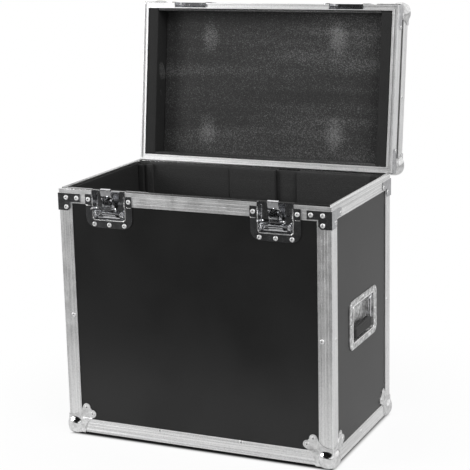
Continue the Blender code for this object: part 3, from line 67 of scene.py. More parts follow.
# Camera, measured from the photograph
CAMERA_PLACE = (1290.80, -2798.86, 1142.67)
CAMERA_AZIMUTH = 24.4576
CAMERA_ELEVATION = 13.1025
CAMERA_ROLL = -1.30324
CAMERA_LENS = 111.319
SENSOR_WIDTH = 36.0

# Finishes: how far past the side faces a brace or the tongue starts, where the polish of a
# ball ends, and the four painted highlights on the foam
BRACE_EDGE = 0.12
TONGUE_EDGE = -0.6
BALL_POLISH = (24.5, 27.0)
# Place and size of the four lighter patches painted on the foam as highlights
HIGHLIGHT_PATCH_PLACE = (158.0, 108.0)
HIGHLIGHT_PATCH_SIZE = (30.0, 50.0)
PALE_ZINC = ("c6c6c6", "f6f6f6")

# Studio, in metres and shares. A dark zone is x, z, half its width and half its height, as
# parts of a direction's length.
LIGHT_POWER = 50.0
LIGHT_TARGET = (0.0, 0.0, 0.4)
DARK_ZONES = ((-0.24, 0.0, 0.3, 0.22), (-0.25, 0.5, 0.7, 0.34))
DARK_STRENGTH = 0.012
PAPER_REACH = 12.0
PAPER_DROP = 0.0004
# Span in front over which the paper turns to a painted dark reflection, seen by glossy rays alone
PAINTED_REFLECTION_END = (-0.9, -0.55)
PAPER_GLOW = (0.35, 0.8, 0.93)
# Edge of the painted shadow under the case, in metres past its side faces
PAINTED_SHADOW_EDGE = (-0.01, 0.006)

# Rivets
RIVET_RADIUS = 5.1
RIVET_RISE = 2.4
RIVET_HOLE = 2.1
LOW_RIVET_RADIUS = 4.7
LOW_RIVET_RISE = 1.2
HANDLE_RIVET_RADIUS = 3.6
RIVET_SIDES = 24

# Plates and lips
PLATE_OUT = 1.8
LIP_RADIUS = 1.3
LATCH_OFFSET = 190.0
LATCH_RECESS_HALF = 38.5
LATCH_RECESS_BOTTOM = 483.0
LATCH_FLANGE_HALF = 55.5
LATCH_PLATE_TOP = 537.5
RIM_LEG_END = 514.7
HANDLE_SHIFT = 6.0
HANDLE_RECESS_HALF = 66.0
HANDLE_RECESS = (229.0, 309.0)
DISH_CORNER = 6.0

# Pressed ball corners, measured inwards from the case's three outer faces
BALL_RADIUS = 22.3
BALL_CENTRE = 14.0
BALL_POWER = 2.4
BALL_FLAT = -8.1
LOBE_PLACE = (43.6, 57.6)
LOBE_RADIUS = 9.0
LOBE_MIDDLE = 54.6
CORNER_SHEET = 1.4
CORNER_EDGE = 1.9
LEG_END = 31.3

# Foam lining: outer reach, inner faces and levels
FOAM_X = 297.1
FOAM_Y = 169.6
FOAM_FLOOR = (12.9, 39.9)
FOAM_WALLS = (40.2, 543.0)
FOAM_LEDGE = 470.0
FOAM_LEDGE_X = 272.1
FOAM_UPPER_X = 292.1
FOAM_FRONT = -149.6
FOAM_BACK = 155.6
HANDLE_POCKET = (19.0, 68.0, 227.0, 311.0)
LID_FOAM = (546.9, 606.5)
LID_FOAM_BED = 590.5
LID_FOAM_INNER = (272.1, 163.6)
FOAM_EDGE = 1.6
FOAM_JOINT = 0.35


def case_matrix(lid=False):
    """From the case's frame in millimetres to the world in metres, with the lid swung open."""
    place = Matrix.Translation(SHIFT) @ Matrix.Scale(MM, 4)
    if not lid:
        return place
    hinge = Vector((0.0, HALF_DEPTH + HINGE_OUT, BASE_HEIGHT - HINGE_DROP))
    swing = Matrix.Rotation(-math.radians(LID_OPEN_DEGREES), 4, "X")
    return place @ Matrix.Translation(hinge) @ swing @ Matrix.Translation(-hinge)


def face_matrix(face):
    """The frame of an outer face: to the right, up and outwards, as seen from outside."""
    right, out, reach = {
        "front": ((1, 0, 0), (0, -1, 0), HALF_DEPTH),
        "right": ((0, 1, 0), (1, 0, 0), HALF_WIDTH),
        "back": ((-1, 0, 0), (0, 1, 0), HALF_DEPTH),
        "left": ((0, -1, 0), (-1, 0, 0), HALF_WIDTH),
    }[face]
    right = Vector(right)
    out = Vector(out)
    turn = Matrix((right, out.cross(right), out)).transposed().to_4x4()
    turn.translation = out * reach
    return turn


# Materials

def srgb(code):
    """The linear colour of an sRGB hex code such as 8a8a8a."""
    values = np.array([int(code[i:i + 2], 16) for i in (0, 2, 4)]) / 255.0
    linear = np.where(values <= 0.04045, values / 12.92, ((values + 0.055) / 1.055) ** 2.4)
    return (*linear.tolist(), 1.0)


def add_node(tree, kind, settings=(), inputs=(), stops=()):
    """Adds a node. Settings are its own values; inputs are numbers, colours or output sockets.
    Stops are a colour ramp's positions and sRGB codes."""
    node = tree.nodes.new(kind)
    for key, value in dict(settings).items():
        setattr(node, key, value)
    for key, value in dict(inputs).items():
        if isinstance(value, bpy.types.NodeSocket):
            tree.links.new(value, node.inputs[key])
        else:
            node.inputs[key].default_value = value
    for number, (position, code) in enumerate(stops):
        ramp = node.color_ramp.elements
        stop = ramp[number] if number < 2 else ramp.new(position)
        stop.position = position
        stop.color = srgb(code)
    return node


def new_material(name, lid=False):
    """An empty node material with its shader and the coordinates of the closed case."""
    material = bpy.data.materials.new(name)
    material.use_nodes = True
    tree = material.node_tree
    place = tree.nodes.new("ShaderNodeTexCoord").outputs["Object"]
    closing = case_matrix() @ case_matrix(lid).inverted()
    shut = add_node(tree, "ShaderNodeMapping", {},
                    {"Vector": place, "Location": closing.translation,
                     "Rotation": closing.to_euler()})
    return material, tree, tree.nodes["Principled BSDF"], shut.outputs[0]


def from_middle(tree, place, middle=(0.0, SHIFT.y, 0.0)):
    """Distances from the middle of the case, so that one mask serves all its sides."""
    spot = add_node(tree, "ShaderNodeVectorMath", {"operation": "SUBTRACT"},
                    {0: place, 1: middle})
    return add_node(tree, "ShaderNodeVectorMath", {"operation": "ABSOLUTE"},
                    {0: spot.outputs[0]}).outputs[0]


def past_faces(tree, place):
    """How far a place lies past the side faces: along each axis, and the larger of both."""
    spot = add_node(tree, "ShaderNodeVectorMath", {"operation": "SUBTRACT"},
                    {0: from_middle(tree, place), 1: (HALF_WIDTH * MM, HALF_DEPTH * MM, 0.0)})
    split = add_node(tree, "ShaderNodeSeparateXYZ", {}, {0: spot.outputs[0]})
    beyond = add_node(tree, "ShaderNodeMath", {"operation": "MAXIMUM"},
                      {0: split.outputs["X"], 1: split.outputs["Y"]})
    return split, beyond.outputs[0]


def laminated_plywood(lid):
    """Phenolic film on birch plywood: near black and satin, so it goes grey only where it
    mirrors something pale at a low angle. The pressed grain is a tenth of a millimetre and is
    drawn at 1.5 mm, which is as fine as shows. Its
    tones were set against the studio's dark zones."""
    material, tree, shader, place = new_material("phenolic_film_on_plywood", lid)
    grain = add_node(tree, "ShaderNodeTexNoise", {},
                     {"Vector": place, "Scale": 650.0, "Detail": 3.0})
    cloud = add_node(tree, "ShaderNodeTexNoise", {},
                     {"Vector": place, "Scale": 7.0, "Detail": 3.0})
    mixed = add_node(tree, "ShaderNodeMath", {"operation": "MULTIPLY_ADD"},
                     {0: grain.outputs["Fac"], 1: 0.8, 2: cloud.outputs["Fac"]})
    colour = add_node(tree, "ShaderNodeValToRGB", {}, {"Fac": mixed.outputs[0]},
                      ((0.6, "161616"), (1.2, "202020")))
    tree.links.new(colour.outputs[0], shader.inputs["Base Color"])
    shader.inputs["Roughness"].default_value = 0.3
    shader.inputs["IOR"].default_value = 1.4
    bump = add_node(tree, "ShaderNodeBump", {}, {"Height": grain.outputs["Fac"], "Strength": 0.15,
                                                 "Distance": 0.0003})
    tree.links.new(bump.outputs["Normal"], shader.inputs["Normal"])
    return material


def die_lines(tree, place, along):
    """Noise drawn out along an extrusion, lines of 1 to 6 mm that die marks leave, and a mill
    grain drawn at 2 mm, which is as fine as shows."""
    scale = [1.0, 1.0, 1.0]
    scale[along] = 0.008
    drawn = add_node(tree, "ShaderNodeMapping", {}, {"Vector": place, "Scale": scale})
    lines = add_node(tree, "ShaderNodeTexNoise", {}, {"Vector": drawn.outputs[0], "Scale": 300.0,
                                                      "Detail": 3.0, "Roughness": 0.6})
    grain = add_node(tree, "ShaderNodeTexNoise", {},
                     {"Vector": place, "Scale": 520.0, "Detail": 2.0})
    return add_node(tree, "ShaderNodeMix", {}, {"Factor": 0.35, "A": lines.outputs["Fac"],
                                                "B": grain.outputs["Fac"]}).outputs[0]


def drawn_aluminium(name, lid, along, braces=False):
    """Mill-finish aluminium extrusion: pale satin metal with fine lines along its length. On a
    rim the lines turn at the mitres, its corner braces are plated steel, and the base rim's
    tongue is rubbed bright by the lid."""
    material, tree, shader, place = new_material(name, lid)
    lines = die_lines(tree, place, along)
    wear = add_node(tree, "ShaderNodeTexNoise", {}, {"Vector": place, "Scale": 45.0, "Detail": 6.0,
                                                     "Roughness": 0.7})
    if braces:
        split, beyond = past_faces(tree, place)
        side = add_node(tree, "ShaderNodeMath", {"operation": "GREATER_THAN"},
                        {0: split.outputs["X"], 1: split.outputs["Y"]})
        lines = add_node(tree, "ShaderNodeMix", {}, {"Factor": side.outputs[0], "A": lines,
                                                     "B": die_lines(tree, place, 1)}).outputs[0]
        brace = add_node(tree, "ShaderNodeMath", {"operation": "GREATER_THAN"},
                         {0: beyond, 1: BRACE_EDGE * MM})
    colour = add_node(tree, "ShaderNodeValToRGB", {}, {"Fac": lines},
                      ((0.34, "c4c4c4"), (0.66, "fafafa"), (0.5, "e8e8e8"))).outputs[0]
    rough = add_node(tree, "ShaderNodeMapRange", {},
                     {"Value": wear.outputs["Fac"], "From Min": 0.35, "From Max": 0.65,
                      "To Min": 0.42, "To Max": 0.54}).outputs[0]
    height = lines
    if braces and not lid:
        inside = add_node(tree, "ShaderNodeMath", {"operation": "LESS_THAN"},
                          {0: beyond, 1: TONGUE_EDGE * MM})
        rough = add_node(tree, "ShaderNodeMix", {}, {"Factor": inside.outputs[0], "A": rough,
                                                     "B": 0.12}).outputs[0]
    if braces:
        plate, polish = plating(tree, place, 0.12)
        colour = add_node(tree, "ShaderNodeMix", {"data_type": "RGBA"},
                          {"Factor": brace.outputs[0], "A": colour, "B": plate}).outputs[2]
        rough = add_node(tree, "ShaderNodeMix", {}, {"Factor": brace.outputs[0], "A": rough,
                                                     "B": polish}).outputs[0]
        height = add_node(tree, "ShaderNodeMix", {}, {"Factor": brace.outputs[0], "A": lines,
                                                      "B": 0.5}).outputs[0]
    tree.links.new(colour, shader.inputs["Base Color"])
    tree.links.new(rough, shader.inputs["Roughness"])
    shader.inputs["Metallic"].default_value = 1.0
    bump = add_node(tree, "ShaderNodeBump", {}, {"Height": height, "Strength": 0.3,
                                                 "Distance": 0.0004})
    tree.links.new(bump.outputs["Normal"], shader.inputs["Normal"])
    return material


def plating(tree, place, polish, tones=("aeaeb0", "d6d7d9")):
    """The colour and roughness of zinc plating, with a mottle of 5 to 15 mm and fine specks."""
    mottle = add_node(tree, "ShaderNodeTexNoise", {},
                      {"Vector": place, "Scale": 90.0, "Detail": 7.0, "Roughness": 0.75})
    colour = add_node(tree, "ShaderNodeValToRGB", {}, {"Fac": mottle.outputs["Fac"]},
                      ((0.35, tones[0]), (0.65, tones[1])))
    rough = add_node(tree, "ShaderNodeMapRange", {},
                     {"Value": mottle.outputs["Fac"], "From Min": 0.35, "From Max": 0.65,
                      "To Min": polish, "To Max": polish + 0.08})
    return colour.outputs[0], rough.outputs[0]


def plated_steel(name, lid, polish, dent, tones=("aeaeb0", "d6d7d9"), ball=False):
    """Zinc-plated pressed steel: cool grey metal, faintly mottled and slightly uneven, so what
    it mirrors breaks up. The press leaves the balls of the corners polished."""
    material, tree, shader, place = new_material(name, lid)
    colour, rough = plating(tree, place, polish, tones)
    if ball:
        half = Vector((HALF_WIDTH, HALF_DEPTH, LID_TOP / 2.0))
        spot = from_middle(tree, place, SHIFT + Vector((0.0, 0.0, half.z)) * MM)
        spot = add_node(tree, "ShaderNodeVectorMath", {"operation": "DISTANCE"},
                        {0: spot, 1: (half - Vector((BALL_CENTRE,) * 3)) * MM})
        rough = add_node(tree, "ShaderNodeMapRange", {},
                         {"Value": spot.outputs["Value"], "From Min": BALL_POLISH[0] * MM,
                          "From Max": BALL_POLISH[1] * MM, "To Min": 0.07,
                          "To Max": rough}).outputs[0]
    tree.links.new(colour, shader.inputs["Base Color"])
    tree.links.new(rough, shader.inputs["Roughness"])
    shader.inputs["Metallic"].default_value = 1.0
    uneven = add_node(tree, "ShaderNodeTexNoise", {},
                      {"Vector": place, "Scale": 260.0, "Detail": 3.0})
    bump = add_node(tree, "ShaderNodeBump", {}, {"Height": uneven.outputs["Fac"], "Strength": dent,
                                                 "Distance": 0.0005})
    tree.links.new(bump.outputs["Normal"], shader.inputs["Normal"])
    return material


def bright_steel():
    """Chromed steel: polished like a mirror, with faint wear marks."""
    material, tree, shader, place = new_material("chromed_steel")
    wear = add_node(tree, "ShaderNodeTexNoise", {},
                    {"Vector": place, "Scale": 160.0, "Detail": 5.0})
    colour = add_node(tree, "ShaderNodeValToRGB", {}, {"Fac": wear.outputs["Fac"]},
                      ((0.35, "cfd0d2"), (0.65, "ececee")))
    tree.links.new(colour.outputs[0], shader.inputs["Base Color"])
    shader.inputs["Metallic"].default_value = 1.0
    rough = add_node(tree, "ShaderNodeMapRange", {},
                     {"Value": wear.outputs["Fac"], "From Min": 0.35, "From Max": 0.65,
                      "To Min": 0.05, "To Max": 0.12})
    tree.links.new(rough.outputs[0], shader.inputs["Roughness"])
    return material


def grip_rubber():
    """Moulded rubber: black and satin, with a fine grain."""
    material, tree, shader, place = new_material("moulded_rubber")
    grain = add_node(tree, "ShaderNodeTexNoise", {},
                     {"Vector": place, "Scale": 900.0, "Detail": 2.0})
    colour = add_node(tree, "ShaderNodeValToRGB", {}, {"Fac": grain.outputs["Fac"]},
                      ((0.3, "0b0b0b"), (0.7, "151515")))
    tree.links.new(colour.outputs[0], shader.inputs["Base Color"])
    shader.inputs["Roughness"].default_value = 0.55
    bump = add_node(tree, "ShaderNodeBump", {}, {"Height": grain.outputs["Fac"], "Strength": 0.3,
                                                 "Distance": 0.0003})
    tree.links.new(bump.outputs["Normal"], shader.inputs["Normal"])
    return material


def lining_foam(lid):
    """Cut polyethylene foam plank: charcoal and matt, with cells of 1 to 2 mm, drawn at 2 mm,
    that sparkle a little where the knife opened them, in broad level bands that the knife
    leaves, and four lighter patches that are painted highlights. The end planks have their closed
    skin outside, which is darker and finer."""
    material, tree, shader, place = new_material("polyethylene_foam", lid)
    cells = add_node(tree, "ShaderNodeTexVoronoi", {}, {"Vector": place, "Scale": 420.0})
    bands = add_node(tree, "ShaderNodeMapping", {}, {"Vector": place, "Scale": (0.12, 1.0, 1.0)})
    bands = add_node(tree, "ShaderNodeTexNoise", {}, {"Vector": bands.outputs[0], "Scale": 16.0,
                                                      "Detail": 3.0})
    fleck = add_node(tree, "ShaderNodeTexNoise", {},
                     {"Vector": place, "Scale": 520.0, "Detail": 2.0, "Roughness": 0.8})
    mixed = add_node(tree, "ShaderNodeMath", {"operation": "MULTIPLY_ADD"},
                     {0: bands.outputs["Fac"], 1: 0.45, 2: fleck.outputs["Fac"]})
    # Painted highlight: four lighter patches added to the foam's tone, in the lid and the base
    wide, tall = HIGHLIGHT_PATCH_SIZE
    spot = add_node(tree, "ShaderNodeMapping", {},
                    {"Vector": from_middle(tree, place),
                     "Location": (-HIGHLIGHT_PATCH_PLACE[0] / wide, -HIGHLIGHT_PATCH_PLACE[1] / tall, 0.0),
                     "Scale": (1 / (wide * MM), 1 / (tall * MM), 0.0)})
    spot = add_node(tree, "ShaderNodeVectorMath", {"operation": "LENGTH"}, {0: spot.outputs[0]})
    rubbed = add_node(tree, "ShaderNodeMapRange", {"interpolation_type": "SMOOTHSTEP"},
                      {"Value": spot.outputs["Value"], "From Min": 0.1, "From Max": 1.1,
                       "To Min": 0.13, "To Max": 0.0})
    mixed = add_node(tree, "ShaderNodeMath", {}, {0: mixed.outputs[0], 1: rubbed.outputs[0]})
    tones = ("1a1a1a", "7a7a7a", "2f2f2f") if lid else ("262626", "414141", "303030")
    open_cut = add_node(tree, "ShaderNodeValToRGB", {}, {"Fac": mixed.outputs[0]},
                        tuple(zip((0.5, 1.05, 0.78), tones)))
    shut_skin = add_node(tree, "ShaderNodeValToRGB", {}, {"Fac": mixed.outputs[0]},
                         ((0.5, "141414"), (1.0, "222222")))
    split = add_node(tree, "ShaderNodeSeparateXYZ", {}, {0: place})
    beside = add_node(tree, "ShaderNodeMath", {"operation": "ABSOLUTE"}, {0: split.outputs["X"]})
    ends = add_node(tree, "ShaderNodeMath", {"operation": "GREATER_THAN"},
                    {0: beside.outputs[0], 1: LID_FOAM_INNER[0] * MM})
    colour = add_node(tree, "ShaderNodeMix", {"data_type": "RGBA"},
                      {"Factor": ends.outputs[0], "A": open_cut.outputs[0],
                       "B": shut_skin.outputs[0]})
    tree.links.new(colour.outputs[2], shader.inputs["Base Color"])
    shader.inputs["Roughness"].default_value = 0.8
    bump = add_node(tree, "ShaderNodeBump", {},
                    {"Height": cells.outputs["Distance"], "Strength": 0.6, "Distance": 0.0008})
    tree.links.new(bump.outputs["Normal"], shader.inputs["Normal"])
    return material


# Surfaces

def surface(name, grids, finish, close_rows=False, close_columns=False, sharp=40.0):
    """A mesh over grids of points.

    A grid's last three axes are rows, columns and X, Y, Z; any before them are copies. Each
    point is joined to its neighbours in row and column, rows or columns close on themselves
    where asked, and points that coincide, as at a pole or a shared edge, are merged.
    """
    points = []
    quads = []
    count = 0
    for grid in grids:
        copies = grid.reshape(-1, *grid.shape[-3:])
        index = count + np.arange(copies[..., 0].size).reshape(copies.shape[:3])
        count += copies[..., 0].size
        if close_columns:
            index = np.concatenate([index, index[:, :, :1]], axis=2)
        if close_rows:
            index = np.concatenate([index, index[:, :1]], axis=1)
        points.append(copies.reshape(-1, 3))
        quads.append(np.stack([index[:, :-1, :-1], index[:, :-1, 1:], index[:, 1:, 1:],
                               index[:, 1:, :-1]], axis=-1).reshape(-1, 4))
    mesh = bpy.data.meshes.new(name)
    mesh.from_pydata(np.concatenate(points), [], np.concatenate(quads))
    work = bmesh.new()
    work.from_mesh(mesh)
    bmesh.ops.remove_doubles(work, verts=work.verts, dist=2e-6)
    bmesh.ops.recalc_face_normals(work, faces=work.faces)
    work.to_mesh(mesh)
    work.free()
    mesh.shade_smooth()
    mesh.set_sharp_from_angle(angle=math.radians(sharp))
    mesh.materials.append(finish)
    obj = bpy.data.objects.new(name, mesh)
    bpy.context.scene.collection.objects.link(obj)
    return obj


def moved(points, matrices):
    """Every point of a grid carried by each of the matrices."""
    stack = np.array([np.array(matrix) for matrix in matrices])
    turned = np.einsum("nij,rcj->nrci", stack[:, :3, :3], points)
    return turned + stack[:, None, None, :3, 3]


def turned_profile(profile, sides):
    """A profile of radius and height turned round Z: rows follow the profile, columns the turn."""
    radius, height = np.array(profile, float).T
    angle = np.arange(sides) * 2.0 * math.pi / sides
    x = radius[:, None] * np.cos(angle)
    y = radius[:, None] * np.sin(angle)
    return np.stack([x, y, np.repeat(height[:, None], sides, axis=1)], axis=-1)


# Foam lining

def plank(low, high, swell=0.0, pocket=None, fine=9.0):
    """A cut plank of foam: six grids over a box with rounded edges.

    A point of the box is drawn back to the inner box, which is the edge radius smaller all
    round, and pushed out from there by the radius. Broad faces then swell by a product of two
    half sines, and low waves of 40 to 130 mm lie on them. A pocket, given as a side, a depth, a
    half width and two levels, presses the outer face in.
    """
    low = np.array(low, float) + FOAM_JOINT
    high = np.array(high, float) - FOAM_JOINT
    middle = (low + high) / 2.0
    half = (high - low) / 2.0
    edge = min(FOAM_EDGE, half.min() * 0.8)
    grids = []
    for axis in range(3):
        lines = []
        for other in [(axis + 1) % 3, (axis + 2) % 3]:
            steps = max(2, int(2 * half[other] / fine))
            inner = half[other] - edge
            bend = edge * np.array([0.0, 0.2, 0.5])
            lines.append(np.concatenate([-half[other] + bend, np.linspace(-inner, inner, steps),
                                         half[other] - bend[::-1]]))
        first, second = np.meshgrid(*lines, indexing="ij")
        for sign in (-1.0, 1.0):
            point = np.empty(first.shape + (3,))
            point[..., axis] = sign * half[axis]
            point[..., (axis + 1) % 3] = first
            point[..., (axis + 2) % 3] = second
            core = np.clip(point, edge - half, half - edge)
            out = point - core
            out /= np.linalg.norm(out, axis=-1, keepdims=True)
            point = core + edge * out
            part = np.cos(np.clip(point / half, -1, 1) * math.pi / 2)
            part[..., axis] = 1.0
            place = point + middle
            wave = (np.sin(place[..., 0] / 17.0 + place[..., 1] / 23.0)
                    + np.sin(place[..., 1] / 9.0 - place[..., 2] / 14.0 + 1.3)
                    + np.sin(place[..., 2] / 7.5 + place[..., 0] / 11.0 + 2.1))
            rise = (swell + 0.12 * wave * min(1.0, swell * 2)) * part.prod(axis=-1)
            point = place + out * rise[..., None]
            if pocket is not None and axis == 0 and sign == pocket[0]:
                side, depth, width, bottom, top = pocket
                across = np.abs(point[..., 1] - HANDLE_SHIFT) < width
                beside = across & (point[..., 2] > bottom) & (point[..., 2] < top)
                point[..., 0] -= sign * np.where(beside, depth, 0.0)
            grids.append(point)
    return grids


def world_grids(grids, lid=False):
    """Grids in the case's frame brought to the world."""
    return [moved(grid, [case_matrix(lid)])[0] for grid in grids]


def add_foam(name, planks, node, lid, finish):
    """Foam planks glued side by side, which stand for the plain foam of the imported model."""
    grids = [grid for part in planks for grid in world_grids(part, lid)]
    obj = surface(name, grids, finish, sharp=60.0)
    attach(obj, "lid" if lid else "base")
    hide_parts(node)


def line_case(foam, lid_foam):
    """The lining: a floor plank, four walls with a ledge, a slotted block, and the lid's tray."""
    low, top = FOAM_WALLS
    pad = plank((-FOAM_X, -FOAM_Y, FOAM_FLOOR[0]), (FOAM_X, FOAM_Y, FOAM_FLOOR[1]), 0.3)
    add_foam("base_lining_floor", [pad], "base_foam_floor", False, foam)
    pocket = FOAM_X + HANDLE_POCKET[0] - HALF_WIDTH
    walls = [plank((-FOAM_X, -FOAM_Y, low), (FOAM_X, FOAM_FRONT, top)),
             plank((-FOAM_X, FOAM_BACK, low), (FOAM_X, FOAM_Y, FOAM_LEDGE))]
    for side in (-1.0, 1.0):
        near, far = sorted((side * FOAM_LEDGE_X, side * FOAM_X))
        walls.append(plank((near, FOAM_FRONT, low), (far, FOAM_BACK, FOAM_LEDGE),
                           pocket=(side, pocket, *HANDLE_POCKET[1:]), fine=6.0))
        near, far = sorted((side * FOAM_UPPER_X, side * FOAM_X))
        walls.append(plank((near, FOAM_FRONT, FOAM_LEDGE), (far, FOAM_BACK, top)))
    for left, right, face in ((-FOAM_X, -65.0, FOAM_BACK + 3.0), (-65.0, 48.0, FOAM_BACK),
                              (48.0, 100.0, FOAM_BACK + 10.0), (100.0, FOAM_X, FOAM_BACK)):
        walls.append(plank((left, face, FOAM_LEDGE), (right, FOAM_Y, top)))
    walls.append(plank((-FOAM_UPPER_X, 143.6, FOAM_LEDGE), (-278.1, FOAM_BACK + 3.0, 541.0)))
    walls.append(plank((-278.1, 150.6, FOAM_LEDGE), (-257.1, FOAM_BACK + 3.0, 541.0)))
    add_foam("base_lining_walls", walls, "base_foam_walls", False, foam)
    low, top = LID_FOAM
    x, y = LID_FOAM_INNER
    tray = [plank((-x, -FOAM_Y, LID_FOAM_BED), (x, FOAM_Y, top), 0.0)]
    for side in (-1.0, 1.0):
        near, far = sorted((side * x, side * FOAM_X))
        tray.append(plank((near, -FOAM_Y, low), (far, FOAM_Y, top), 0.4))
        near, far = sorted((side * y, side * FOAM_Y))
        tray.append(plank((-x, near, low), (x, far, LID_FOAM_BED)))
    add_foam("lid_lining", tray, "lid_foam", True, lid_foam)


# Ball corners

def arc_points(x, y, radius, start, end, count):
    """Points along an arc round a centre."""
    turn = np.radians(np.linspace(start, end, count))
    return [(x + radius * math.cos(a), y + radius * math.sin(a)) for a in turn]


def lobed_half(arm):
    """Half of a plate with two lobes: up the end of the arm, round the neck and the lobe."""
    points = [(arm, -PLATE_OUT), (arm, 2.0)]
    points += arc_points(72.0, 5.0, 32.5, 180.0, 128.0, 9)
    points += arc_points(LOBE_PLACE[1], LOBE_PLACE[0], LOBE_RADIUS, -62.0, 100.0, 12)
    return points + [(LOBE_MIDDLE, LOBE_MIDDLE)]


def slanted_halves():
    """Both halves of the lid's side plate: slanted along the lid's edge, square to the seam."""
    edge = -PLATE_OUT
    across = [(41.0, edge), (41.0, 5.0), (30.7, 30.7)]
    down = [(43.4, edge), *arc_points(38.4, 25.5, 5.0, 0.0, 90.0, 6), (30.7, 30.7)]
    return across, down


def even_points(points, count):
    """Points spaced evenly along a broken line."""
    points = np.array(points, float)
    run = np.concatenate([[0.0], np.cumsum(np.linalg.norm(np.diff(points, axis=0), axis=1))])
    place = np.linspace(0.0, run[-1], count)
    return np.stack([np.interp(place, run, points[:, axis]) for axis in (0, 1)], axis=-1)


def smooth_step(value):
    """A rise from 0 to 1 that starts and ends level."""
    value = np.clip(value, 0.0, 1.0)
    return value * value * (3.0 - 2.0 * value)


def pressed_sheet(flat, depth):
    """One face of the pressed corner over flat points on a plate, some way into the sheet.

    The plate stands proud of the leg of the extrusion, steps in beyond the leg's end, and is
    rounded along its edges. A point inside the swollen ball, whose coordinates from the
    ball's centre, each to a power, add up to its radius to that power, is carried out to it
    from the centre, with a smooth maximum of the two reaches so that the press mark is round.
    """
    base = depth - PLATE_OUT
    radius = CORNER_EDGE - depth
    first = np.maximum(flat[..., 0], base)
    second = np.maximum(flat[..., 1], base)
    point = np.stack([first, second, np.full(first.shape, base)], axis=-1)
    core = np.maximum(point, base + radius)
    out = point - core
    point = core + out * (radius / np.linalg.norm(out, axis=-1, keepdims=True))
    point[..., 2] += PLATE_OUT * smooth_step((np.minimum(first, second) - LEG_END) / 2.6)
    out = point - BALL_CENTRE
    size = (np.abs(out) ** BALL_POWER).sum(axis=-1) ** (1.0 / BALL_POWER)
    reach = (BALL_RADIUS - depth) / size - 1.0
    blend = 0.12
    share = np.clip(0.5 + 0.5 * reach / blend, 0.0, 1.0)
    factor = 1.0 + share * reach + blend * share * (1.0 - share)
    return np.maximum(BALL_CENTRE + out * factor[..., None], BALL_FLAT + depth)


def corner_half(outline, middle, turned):
    """Half a plate of the corner, closed over the edge of its sheet.

    Rows run from the plate's diagonal to its outline and back under the sheet; columns run
    from the edge of the case to the far end of the diagonal.
    """
    columns = 30
    far = even_points(outline, columns)
    near = np.linspace([-PLATE_OUT] * 2, [middle] * 2, columns)
    share = np.linspace(0.0, 1.0, 26)[:, None, None]
    flat = near * (1.0 - share) + far * share
    if turned:
        flat = flat[..., ::-1]
    return np.concatenate([pressed_sheet(flat, 0.0), pressed_sheet(flat[::-1], CORNER_SHEET)])


def add_ball_corners(finish, lid_finish):
    """The eight pressed corners, each a closed sheet in place of the plain one."""
    across, down = slanted_halves()
    base = [(lobed_half(39.0), False, 24.0), (lobed_half(39.0), True, 24.0)]
    lid = [(lobed_half(41.0), False, 24.0), (lobed_half(41.0), True, 24.0)]
    plates = {"base": (base, base, base),
              "lid": ([(across, False, 13.0), (down, True, 13.0)],
                      [(down, False, 13.0), (across, True, 13.0)], lid)}
    for part, height, up in (("base", 0.0, 1.0), ("lid", LID_TOP, -1.0)):
        grids = []
        for axis, halves in enumerate(plates[part]):
            for outline, turned, middle in halves:
                grid = corner_half(outline, middle, turned)
                grids.append(np.roll(grid, axis + 1, axis=-1))
        for x_side, x_name in ((-1.0, "left"), (1.0, "right")):
            for y_side, y_name in ((-1.0, "front"), (1.0, "back")):
                place = Matrix.Translation((x_side * HALF_WIDTH, y_side * HALF_DEPTH, height))
                facing = Matrix.Diagonal((-x_side, -y_side, up, 1.0))
                place = case_matrix(part == "lid") @ place @ facing
                name = f"{part}_pressed_corner_{y_name}_{x_name}"
                obj = surface(name, [moved(grid, [place]) for grid in grids],
                              lid_finish if part == "lid" else finish, sharp=50.0)
                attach(obj, part)
                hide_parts(f"{part}_ball_corner_{y_name}_{x_name}")


# Rivets: each place is a face, across, up and how far out the head sits

def corner_rivets(across, up, out, faces):
    """The same rivet beside each upright edge of the given faces."""
    half = {"front": HALF_WIDTH, "back": HALF_WIDTH, "left": HALF_DEPTH, "right": HALF_DEPTH}
    return [(face, side * (half[face] - across), up, out) for face in faces for side in (-1, 1)]


def low_rivet_places():
    """Flatter rivets of the ball corners, the floor edges and the sides."""
    places = []
    for across, up in ((48.0, 524.0), (21.0, 510.0)):
        places += corner_rivets(across, up, PLATE_OUT, ("left", "right"))
    for across, up in (LOBE_PLACE, LOBE_PLACE[::-1]):
        places += corner_rivets(across, up, 0.0, ("front", "back", "left", "right"))
    for across in (-87.0, 104.0):
        places.append(("front", across, 27.0, 0.0))
        places.append(("back", across, 27.0, 0.0))
    for face, sign in (("right", 1), ("left", -1)):
        places.append((face, sign * -10.0, 18.5, 0.0))
    return places + corner_rivets(22.4, 267.0, 0.0, ("left", "right"))


def handle_rivet_places():
    """Small rivets round the handle plates."""
    places = []
    for face, sign in (("right", 1), ("left", -1)):
        for across, up in ((-76.0, 313.0), (0.0, 316.0), (76.0, 313.0), (-76.0, 224.0),
                           (0.0, 221.5), (76.0, 224.0), (-76.0, 268.0), (76.0, 268.0)):
            places.append((face, sign * HANDLE_SHIFT + across, up, 0.0))
    return places


def base_rivet_places():
    """Full rivets of the front and back: the braces, the uprights and the latch plates."""
    places = []
    for across, up in ((18.0, 527.0), (43.5, 527.0), (18.0, 506.7)):
        places += corner_rivets(across, up, PLATE_OUT, ("front", "back"))
    places += corner_rivets(22.4, 267.0, 0.0, ("front", "back"))
    for offset in (-LATCH_OFFSET, LATCH_OFFSET):
        for across in (-35.6, 0.0, 35.6):
            places.append(("front", offset + across, 473.3, 0.0))
        for across in (-48.2, 48.2):
            places.append(("front", offset + across, 526.0, PLATE_OUT))
    return places


